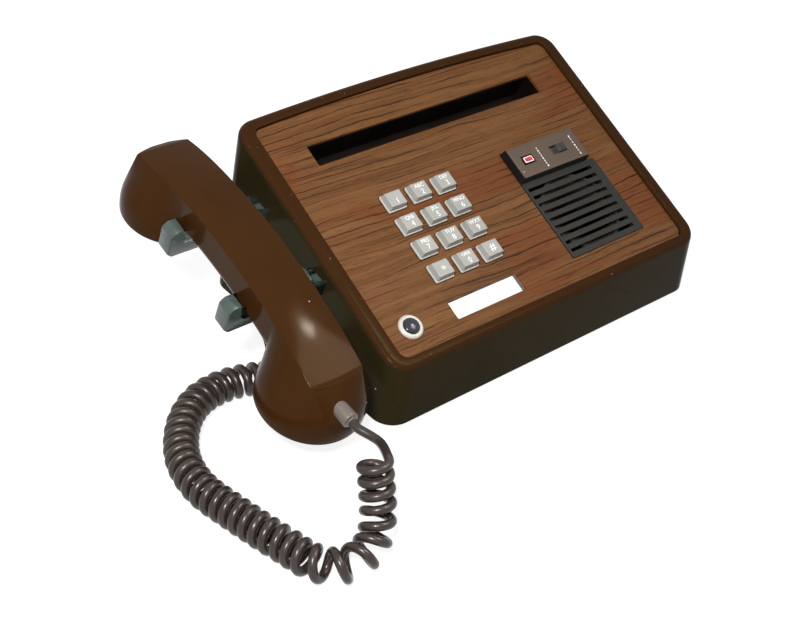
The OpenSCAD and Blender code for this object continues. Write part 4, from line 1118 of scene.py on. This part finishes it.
@dataclass
class Handset:
    """The handset: one skin over the arched handle and the two half balls, two caps and the cord's boot.

    A cap is given by its place along the handset, its height and its lean in degrees.
    """

    hooks: Hooks
    cap_r: float = 31.0
    cap_h: float = 5.0
    mouth: Triple = (11.0, -35.0, -2.0)
    ear: Triple = (151.5, -31.0, -8.0)
    pole: float = 0.9986
    tip: float = 3.0
    tip_bow: float = 3.2
    least_w: float = 0.3
    under_r: float = 7.0
    edge: float = 0.8
    crisp: float = 38.0
    hole_pitch: float = 6.5
    boot_at: Triple = (-2.3, -21.8, -11.2)
    boot_way: Triple = (0.04, -0.993, 0.11)

    def either(self, s: Array | float, mouth: Array | float, ear: Array | float) -> Array:
        """One value for sections in the mouth's half of the handset and another for those in the ear's."""
        return np.where(s < self.hooks.handle_l / 2, mouth, ear)

    def near(self, s: Array) -> Array:
        """Place, height and lean of the cap that a section belongs to, in the first axis."""
        return np.stack([self.either(s, *pair) for pair in zip(self.mouth, self.ear)])

    def ball(self, c: Sequence[float] | Array) -> tuple[Array, Array]:
        """Middle of the half ball over a cap: its place along the handset and its height."""
        lean = np.radians(c[2])
        return c[0] - self.cap_h * np.sin(lean), c[1] + self.cap_h * np.cos(lean)

    def ball_ends(self, c: Sequence[float]) -> Pair:
        """Where the half ball over a cap starts and ends along the handset, just short of its poles."""
        middle, reach = float(self.ball(c)[0]), self.cap_r * math.cos(math.radians(c[2])) * self.pole
        return middle - reach, middle + reach

    def past(self, s: Array) -> Array:
        """How far a section lies beyond the handle's end."""
        return self.either(s, -s, s - self.hooks.handle_l)

    def beyond(self, s: Array | float, by: float) -> Array:
        """The place that lies some way beyond the handle's end, on a section's side."""
        return self.either(s, -by, self.hooks.handle_l + by)

    def touch(self, c: Sequence[float]) -> Pair:
        """Where the line from the tip of the flat back touches the half ball.

        Args:
            c: The cap.

        Returns:
            Place along the handset and height.
        """
        s = self.beyond(c[0], self.tip)
        bs, bz = self.ball(c)
        p = np.array([s - bs, self.hooks.arch(s) - bz])
        turn = math.acos(self.cap_r / float(np.linalg.norm(p)))
        a = math.atan2(p[1], p[0]) - float(self.either(c[0], -turn, turn))
        return float(bs + self.cap_r * math.cos(a)), float(bz + self.cap_r * math.sin(a))

    def outline(self, s: Array) -> tuple[Array, Array, Array, Array, Array]:
        """Lines of the handset at its sections.

        Args:
            s: Places along the handset.

        Returns:
            Height and half width of its back, height of its underside, radius of the ball's section there and
            whether the section crosses the ball. Past the tip the back falls along the tangent to the ball.
        """
        length, arch, w = self.hooks.handle_l, self.hooks.arch, self.hooks.handle_w / 2
        c = self.near(s)
        bs, bz = self.ball(c)
        touch_s, touch_z = (self.either(s, *pair) for pair in zip(self.touch(self.mouth), self.touch(self.ear)))
        start, stop = (self.either(s, *pair) for pair in zip(self.ball_ends(self.mouth), self.ball_ends(self.ear)))
        over, limit = self.past(s), self.past(touch_s)
        fall = np.where(over <= self.tip, 0, np.minimum(1, (over - self.tip) / (limit - self.tip)))
        slice_r = np.sqrt(np.maximum(0, self.cap_r**2 - (s - bs) ** 2))
        straight = arch(self.beyond(s, self.tip)) * (1 - fall) + touch_z * fall
        back = np.where(fall < 1, straight, bz + slice_r)
        back = np.where(fall == 0, arch(np.clip(s, -self.tip, length + self.tip)), back)
        end_w = w * math.sqrt(1 - self.tip / self.tip_bow)
        bow = w * np.sqrt(np.clip(1 - over / self.tip_bow, 0, 1))
        half = np.where(over <= self.tip, bow, self.least_w + (end_w - self.least_w) * (1 - fall))
        half = np.where(over <= 0, w, half)
        inside = (s >= start - 0.01) & (s <= stop + 0.01)
        under = np.where(inside, bz + (s - bs) * np.tan(np.radians(c[2])), arch(s) - self.hooks.handle_t)
        return back, half, under, slice_r, inside

    def half_width(self, s: Array, z: Array) -> Array:
        """Half width of the skin at places along the handset and heights.

        Args:
            s: Places, as a column.
            z: Heights, a row for each place.

        Returns:
            The larger of the ball's width, drawn up to the flat back by a tangent, and the handle's width, with
            upright sides and a rounded underside.
        """
        back, half, _, r, inside = (v[:, None] for v in self.outline(s[:, 0]))
        _, bz = self.ball(self.near(s))
        h, py = z - bz, back - bz
        norm = np.hypot(half, py)
        a = np.arctan2(py, half) - np.arccos(np.minimum(1, r / norm))
        qx, qy = r * np.cos(a), r * np.sin(a)
        line = qx + (half - qx) * (h - qy) / np.where(np.abs(py - qy) < 1e-6, 1e-6, py - qy)
        round_w = np.sqrt(np.maximum(0, r * r - h * h))
        ball_w = np.where(inside, np.where((norm > r) & (h > qy), line, round_w), 0)
        ball_w = np.where(inside & (self.past(s) > 0), np.maximum(ball_w, self.drawn(s, z)), ball_w)
        hooks, rr = self.hooks, self.under_r
        d, w = hooks.arch(np.clip(s, 0, hooks.handle_l)) - z, hooks.handle_w / 2
        low = w - rr + np.sqrt(np.maximum(0, rr * rr - (d - hooks.handle_t + rr) ** 2))
        handle_w = np.where(self.past(s) <= 0, np.where(d < hooks.handle_t - rr, w, low), 0)
        return np.maximum(ball_w, handle_w)

    def drawn(self, s: Array, z: Array) -> Array:
        """Half width of the skin that is drawn from the bowed end of the back to the half ball.

        Args:
            s: Places, as a column.
            z: Heights, a row for each place.

        Returns:
            The widest of the cones whose points lie along the bowed end and which touch the ball: x solves
            (v . e)^2 = c v^2 for the way v from the cone's point, with e the way to the ball's middle and c the
            square of the tangent's length.
        """
        bs, bz = self.ball(self.near(s))
        widest = np.zeros(np.broadcast(s, z).shape)
        for over in self.tip * (1 - np.cos(np.linspace(0, np.pi / 2, 24))):
            x0 = self.hooks.handle_w / 2 * math.sqrt(1 - over / self.tip_bow)
            s0 = self.beyond(s, over)
            z0 = self.hooks.arch(s0)
            c = x0**2 + (bs - s0) ** 2 + (bz - z0) ** 2 - self.cap_r**2
            k = (s - s0) * (bs - s0) + (z - z0) * (bz - z0)
            m = (s - s0) ** 2 + (z - z0) ** 2
            a, b = x0**2 - c, -x0 * k
            inner = b * b - a * (k * k - c * m)
            root = np.sqrt(np.maximum(0, inner))
            for v in ((-b + root) / a, (-b - root) / a):
                good = (inner >= 0) & (k - x0 * v > 0) & (v * v + m <= c)
                widest = np.maximum(widest, np.where(good, x0 + v, 0))
        return widest

    def stations(self) -> Array:
        """Places of the sections.

        Returns:
            Places along the handset, closer together towards the ends of each ball.
        """
        def ease(a: float, b: float, n: int) -> Array:
            """Steps from a to b that are short at both ends."""
            return a + (b - a) * (1 - np.cos(np.linspace(0, np.pi, n))) / 2

        (m0, m1), (e0, e1) = self.ball_ends(self.mouth), self.ball_ends(self.ear)
        end, tip = self.hooks.handle_l, self.tip
        return np.concatenate([
            ease(m0, -tip - 0.05, 26), np.linspace(-tip, -0.2, 8), ease(0, m1, 44), ease(m1 + 0.2, e0 - 0.2, 44),
            ease(e0, end, 46), np.linspace(end + 0.2, end + tip, 8), ease(end + tip + 0.05, e1, 24),
        ])

    def skin(self) -> Array:
        """Surface of the handset without its caps.

        Returns:
            Grid in which each section runs from the eased edge of the back down one side and up the other.
        """
        s = self.stations()[:, None]
        back, half, under, _, _ = (v[:, None] for v in self.outline(s[:, 0]))
        edge = np.minimum(self.edge, 0.4 * half) * np.where(self.past(s) > self.tip, 0.1, 1)
        share = np.concatenate([0.7 * np.linspace(0, 1, 20) ** 1.7, np.linspace(0.7, 1, 18)[1:]])[None, :]
        z = (back - edge) + (under - back + edge) * share
        x = self.half_width(s, z)
        turn = np.radians(np.linspace(0, 90, 5))[None, :-1]
        ex, ez = x[:, :1] - edge + edge * np.sin(turn), back - edge + edge * np.cos(turn)
        x, z = np.concatenate([ex, x], 1), np.concatenate([ez, z], 1)
        side = np.stack([x, s + 0 * x, z], -1)
        return np.concatenate([side, (side * np.array([-1, 1, 1]))[:, ::-1]], 1)

    def at_cap(self, c: Sequence[float], p: Array) -> Array:
        """Moves points from a cap's own frame, its face down, to the frame's metres."""
        return DESK.handset(moved(tilted(p, c[2]), 0, c[0], c[1]))

    def build_cap(self, node: str, c: Sequence[float], rings: int, hole: float) -> None:
        """Makes one cap: a turned skirt and dished face, with rings of sound holes cut through it.

        Args:
            node: The cap's node.
            c: The cap.
            rings: Number of rings of holes round the middle one.
            hole: Width of a hole.
        """
        r, h = self.cap_r, self.cap_h
        profile = [[0, 0.8], [r - 9, 0.8], [r - 6, 0.45], [r - 4, 0.1], [r - 2.4, 0], [r - 1.3, 0.22], [r - 0.5, 0.8],
                   [r - 0.1, 1.6], [r, 2.4], [r, h - 0.3], [r - 0.3, h], [r - 5, h], [r - 5, h + 3], [r - 7, h + 3],
                   [r - 7, 2.5], [0, 2.5]]
        skin = grid(self.at_cap(c, turned(profile, 128)), Ends.OPEN)
        obj = piece(f"{node}_turned", [skin], ["handset_brown"], Body.HANDSET, node)
        drill = turned([[hole / 2, -1], [hole / 2, 4]], 16)
        ring = [(i * self.hole_pitch, j * math.pi / 3 / i) for i in range(1, rings + 1) for j in range(6 * i)]
        places = [(a * math.cos(t), a * math.sin(t)) for a, t in [(0.0, 0.0)] + ring]
        cut(obj, [grid(self.at_cap(c, moved(drill, *place))) for place in places])

    def boot_frame(self) -> tuple[Array, Array]:
        """End of the boot and the way the cord leaves it, in the case's millimetres."""
        end = DESK.hung(np.array(self.boot_at))
        return end, unit(DESK.hung(np.array(self.boot_at) + np.array(self.boot_way)) - end)

    def build_boot(self) -> None:
        """Makes the boot, turned about the cord's way out: a plain barrel with a stepped neck."""
        end, way = self.boot_frame()
        side = unit(np.cross(way, [0, 0, 1]))
        profile = [[0, -14], [4.8, -14], [4.8, -1.6], [4.7, -1.2], [4.4, -0.8], [3.9, -0.6], [3.1, -0.55], [2.9, -0.4],
                   [2.8, 0.1], [2.4, 0.3], [0, 0.3]]
        p = end + turned(profile, 48) @ np.stack([side, np.cross(side, way), way])
        piece("boot_sleeve", [grid(DESK.case(p), Ends.OPEN)], ["boot_grey"], Body.HANDSET, "cord_boot")

    def build(self) -> None:
        """Makes the shell, both caps and the boot."""
        piece("handset_skin", [grid(DESK.handset(self.skin()))], ["handset_brown"], Body.HANDSET,
              "handset_shell", self.crisp)
        self.build_cap("mouth_cap", self.mouth, 2, 2.0)
        self.build_cap("ear_cap", self.ear, 1, 2.6)
        self.build_boot()


@dataclass
class CurlyCord:
    """The curled cord: a tube wound round a route from the handset's boot, down to the table and into the case.

    The route's rows are x, y, z where it is not the height of rest, and the number of curls up to there.
    """

    diameter: float = 5.0
    curl_r: float = 7.1
    lean: float = 20.0
    lean_curls: float = 6.5
    rest_z: float = 9.8
    per_curl: int = 24
    sides: int = 12
    taper: float = 1.25
    tail_steps: int = 36
    crisp: float = 60.0
    descent: tuple[tuple[float, ...], ...] = (
        (-177, -47, 43, 0), (-180, -53.5, 32.5, 1.875), (-183.5, -60, 23, 3.5), (-188.5, -65.5, 15.5, 4.625),
        (-197, -69.5, 11, 5.75))
    table: tuple[Triple, ...] = (
        (-209, -70, 6.75), (-218, -65, 7.625), (-223, -56, 8.75), (-226, -44, 10.625), (-229, -33, 12.25),
        (-234, -11, 15.75), (-238, 11, 19.25), (-236, 30, 22), (-229, 46, 24.625), (-217, 61, 27.375),
        (-203, 70.5, 29.75), (-188, 73.5, 32), (-173.5, 71.6, 34.125), (-159, 66.5, 36.375), (-146.5, 63, 38.375),
        (-137.4, 61, 39.5))
    tail: tuple[Triple, ...] = ((-161, -32, 35.5),)
    wall: Triple = (-128.65, 61.0, 9.8)

    def spline(self, p: Array, t: Array) -> Array:
        """Smooth line through points.

        Args:
            p: The points.
            t: Places on the line, where whole numbers are the points themselves.

        Returns:
            Catmull-Rom curve: half of 2b + (c - a)f + (2a - 5b + 4c - d)f^2 + (3b - a - 3c + d)f^3.
        """
        n = len(p) - 1
        i = np.clip(np.floor(t).astype(int), 0, n - 1)
        f = (t - i)[:, None]
        a, b, c, d = p[np.maximum(i - 1, 0)], p[i], p[i + 1], p[np.minimum(i + 2, n)]
        return 0.5 * (2 * b + (c - a) * f + (2 * a - 5 * b + 4 * c - d) * f**2 + (3 * b - a - 3 * c + d) * f**3)

    def curls(self, route: Array, t: Array) -> tuple[Array, Array]:
        """Points of the curls.

        Args:
            route: Rows of x, y, z and the number of curls up to there.
            t: Places along the route.

        Returns:
            The points, the route's line plus r (cos a side + sin a up) with a turn of a for each curl, and their
            directions from that line. On the first curls up leans along the line, so that they hang more level.
        """
        c = self.spline(route, t)
        way = unit((self.spline(route, t + 0.02) - self.spline(route, t - 0.02))[:, :3])
        side = unit(np.stack([-way[:, 1], way[:, 0], 0 * way[:, 0]], -1))
        a = (2 * np.pi * c[:, 3])[:, None]
        lean = (np.radians(self.lean) * np.maximum(0, 1 - c[:, 3] / self.lean_curls))[:, None]
        up = np.cos(lean) * np.cross(way, side) + np.sin(lean) * way
        out = np.cos(a) * side + np.sin(a) * up
        r = self.curl_r * np.minimum(1, (route[-1, 3] - c[:, 3]) / self.taper)[:, None]
        return c[:, :3] + r * out, out

    def line(self, handset: Handset) -> tuple[Array, Array]:
        """The cord's whole line.

        Args:
            handset: The handset, whose boot it comes from.

        Returns:
            The line's points, in the case's millimetres, and a side direction at each of them.
        """
        low = [(x, y, self.rest_z, n) for x, y, n in self.table]
        route = np.array(list(self.descent) + low, float)
        counts = np.round(np.diff(route[:, 3]) * self.per_curl).astype(int)
        t = np.concatenate([i + np.arange(n) / n for i, n in enumerate(counts)])
        points, out = self.curls(route, t)
        first, _ = self.curls(route, np.array([0.0, 1 / round((route[1, 3] - route[0, 3]) * 8)]))
        end, way = handset.boot_frame()
        knots = np.vstack([end, end + 5 * way, np.array(self.tail), first])
        tail = self.spline(knots, np.linspace(0, len(self.tail) + 2, self.tail_steps, endpoint=False))
        wall = np.array(self.wall) + np.outer(np.array([-1.5, -1, -0.5, 0]) * self.diameter, [1, 0, 0])
        sides = [np.repeat(out[:1], len(tail), 0), out, np.repeat(out[-1:], len(wall), 0)]
        return np.vstack([tail, points, wall]), np.vstack(sides)

    def build(self, handset: Handset) -> None:
        """Makes the tube in two stretches, which meet where it comes down on the table.

        The hanging stretch rides on no body and has its place baked into its mesh; the other one rides on the base.

        Args:
            handset: The handset, whose boot the cord comes from.
        """
        line, out = self.line(handset)
        way = unit(np.gradient(line, axis=0))
        e = unit(out - way * np.sum(out * way, 1, keepdims=True))
        b = np.cross(way, e)
        a = np.linspace(0, 2 * np.pi, self.sides, endpoint=False)[None, :, None]
        rings = DESK.case(line[:, None] + self.diameter / 2 * (np.cos(a) * e[:, None] + np.sin(a) * b[:, None]))
        split = self.tail_steps + round(self.table[0][2] * self.per_curl)
        for name, body, lay, part in (("curly_cord_lead", None, "hanging", slice(0, split + 1)),
                                      ("curly_cord", Body.BASE, "loose", slice(split, None))):
            obj = piece(name, [grid(rings[part])], ["cord_brown"], body, "handset_cord", self.crisp)
            if body is None:
                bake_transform(obj)


class Innards:
    """Nodes of the frame that keep their shape and get a finish."""

    FINISH: dict[str, tuple[str, ...]] = {
        "walnut_laminate": ("faceplate",),
        "base_black": ("base_plate",),
        "rubber": ("rubber_feet", "cord_grommet"),
        "steel": ("base_screws", "cradle_bracket", "cradle_axle"),
        # The card's pocket and tray are near-black: painted shadow in the window's recess.
        "slot_black": ("card_pocket", "card_tray"),
        "clear_lens": ("card_lens",),
        # speaker_frame takes inner_black in place of bare steel, so that it stays dark behind the grille: painted
        # shade.
        "inner_black": ("keypad_frame", "option_switches", "button_switch", "cradle_bar", "hook_switch", "line_jack",
                        "ringer", "circuit_parts", "speaker_magnet", "speaker_frame"),
        "board_green": ("keypad_board", "main_board"),
        "grille_black": ("grille",),
        # The cone's near-black is painted shade behind the grille.
        "cone_paper": ("speaker_cone",),
        "capsule_metal": ("receiver", "transmitter"),
    }

    def dress(self, nodes: dict[str, bpy.types.Object]) -> None:
        """Puts each finish on its nodes.

        Args:
            nodes: The frame's objects by the names of their nodes.
        """
        for node, finish in ((n, f) for f, names in self.FINISH.items() for n in names):
            materials = nodes[node].data.materials
            materials.clear()
            materials.append(PAINTS[finish])
            log.info("%s: %s", node, finish)


# Stage


@dataclass(frozen=True)
class Lamp:
    """A square lamp that faces a point.

    Its power is in watts. It may light what it faces, and glossy surfaces may mirror it, or not.
    """

    name: str
    at: Triple
    to: Triple
    size: float
    power: float
    colour: Colour
    lights: bool = True
    shines: bool = True

    def hang(self) -> None:
        """Adds the lamp to the scene."""
        data = bpy.data.lights.new(self.name, "AREA")
        data.size, data.energy, data.color = self.size, self.power, self.colour
        obj = linked(self.name, data)
        z = unit(np.array(self.at, float) - np.array(self.to, float))
        x = unit(np.cross([0, 0, 1], z))
        obj.matrix_world = Matrix.Translation(self.at) @ Matrix((x, np.cross(z, x), z)).transposed().to_4x4()
        obj.visible_diffuse, obj.visible_glossy = self.lights, self.shines


@dataclass
class Studio:
    """Floor, light and camera. Below the case, about the places given for x and y, the floor does not glow."""

    lens: float = 61.61
    glow: float = 0.86
    half: float = 6.0
    below: tuple[Pair, ...] = ((0.0332, 0.117), (-0.0027, 0.078))
    eye: Triple = (-0.47543, -0.49411, 0.49282)
    right: Triple = (0.76799595, -0.63501356, 0.08330665)
    down: Triple = (-0.32760288, -0.50127417, -0.80087487)
    forward: Triple = (0.55032588, 0.58777716, -0.5930088)
    lamps: tuple[Lamp, ...] = (
        Lamp("flash", (-0.54, -0.41, 0.69), (-0.02, 0, 0.05), 0.14, 9.6, (1.0, 0.99, 0.97)),
        Lamp("ceiling", (0.46, -0.3, 1.1), (0, 0, 0.05), 0.07, 2.2, (1.0, 0.98, 0.95)),
        Lamp("back", (0.25, 1.1, 0.36), (0, 0.1, 0.06), 0.5, 9.0, (1.0, 0.99, 0.97), shines=False),
        Lamp("pale_ceiling", (0.52, -0.54, 1.11), (-0.13, -0.06, 0.1), 0.5, 9.0, (1.0, 0.85, 0.73), lights=False),
    )

    def camera(self) -> None:
        """Sets the camera where the photograph was taken from."""
        data = bpy.data.cameras.new("camera")
        data.lens, data.sensor_width, data.sensor_fit = self.lens, 36, "HORIZONTAL"
        data.clip_start, data.clip_end = 0.01, 50
        turn = Matrix((self.right, [-v for v in self.down], [-v for v in self.forward])).transposed()
        obj = bpy.context.scene.camera = linked("camera", data)
        obj.matrix_world = Matrix.Translation(self.eye) @ turn.to_4x4()

    @staticmethod
    def seen(w: Weave) -> Socket:
        """Tells rays that come straight from the camera, by way of a reflection or through glass.

        Args:
            w: The nodes to add to.

        Returns:
            A socket that is one for these rays and zero for others.
        """
        path = w.node("ShaderNodeLightPath").outputs
        behind = w.maths("MAXIMUM", path["Is Glossy Ray"], path["Is Transmission Ray"])
        return w.maths("MAXIMUM", path["Is Camera Ray"], behind)

    def floor(self) -> None:
        """Makes the pale floor: white to the camera but for the shadow on it, and dark below the case."""
        w, shader = new_material("pale_floor")
        place = w.node("ShaderNodeSeparateXYZ", {0: w.node("ShaderNodeTexCoord").outputs["Object"]}).outputs
        below = [w.node("ShaderNodeMath", {0: place[k], 1: mid, 2: half}, operation="COMPARE").outputs[0]
                 for k, (mid, half) in enumerate(self.below)]
        bare = w.maths("SUBTRACT", 1, w.maths("MULTIPLY", *below))
        w.fill(shader, {
            "Base Color": (0.3, 0.3, 0.3, 1), "Roughness": 0.9, "Specular IOR Level": 0.0,
            "Emission Color": (1, 1, 1, 1),
            "Emission Strength": w.maths("MULTIPLY", self.seen(w), w.maths("MULTIPLY", bare, self.glow)),
        })
        mesh, h = bpy.data.meshes.new("floor"), self.half
        mesh.from_pydata([(-h, -h, 0), (h, -h, 0), (h, h, 0), (-h, h, 0)], [], [(0, 1, 2, 3)])
        mesh.materials.append(PAINTS["pale_floor"])
        linked("floor", mesh)

    def world(self) -> None:
        """Sets a soft even surround: white to the camera, dimmer as light."""
        world = bpy.context.scene.world = bpy.data.worlds.new("surround")
        world.use_nodes = True
        w = Weave(world.node_tree)
        dim = w.node("ShaderNodeBackground", {"Color": (0.95, 0.98, 1.0, 1), "Strength": 0.15})
        plain = w.node("ShaderNodeBackground", {"Color": (1, 1, 1, 1), "Strength": 1.0})
        both = w.node("ShaderNodeMixShader", {0: self.seen(w), 1: dim.outputs[0], 2: plain.outputs[0]})
        w.fill(world.node_tree.nodes["World Output"], {"Surface": both.outputs[0]})

    def build(self) -> None:
        """Sets the whole stage."""
        self.camera()
        self.floor()
        self.world()
        for lamp in self.lamps:
            lamp.hang()
        bpy.context.scene.view_settings.view_transform = "Standard"


def main() -> None:
    """Builds every sub-assembly around the frame and notes the size of the result."""
    logging.basicConfig(level=logging.INFO, format="%(name)s: %(message)s")
    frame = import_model()
    Studio().build()
    for make_group in (mottle_group, speck_group, scuff_group):
        make_group()
    for finish in FINISHES:
        finish.build()
    hooks = Hooks()
    handset = Handset(hooks)
    CurlyCord().build(handset)
    Innards().dress(frame["nodes"])
    Case().build(hooks)
    Keypad().build()
    Controls().build()
    hooks.build()
    handset.build()


if __name__ == "__main__":
    main()
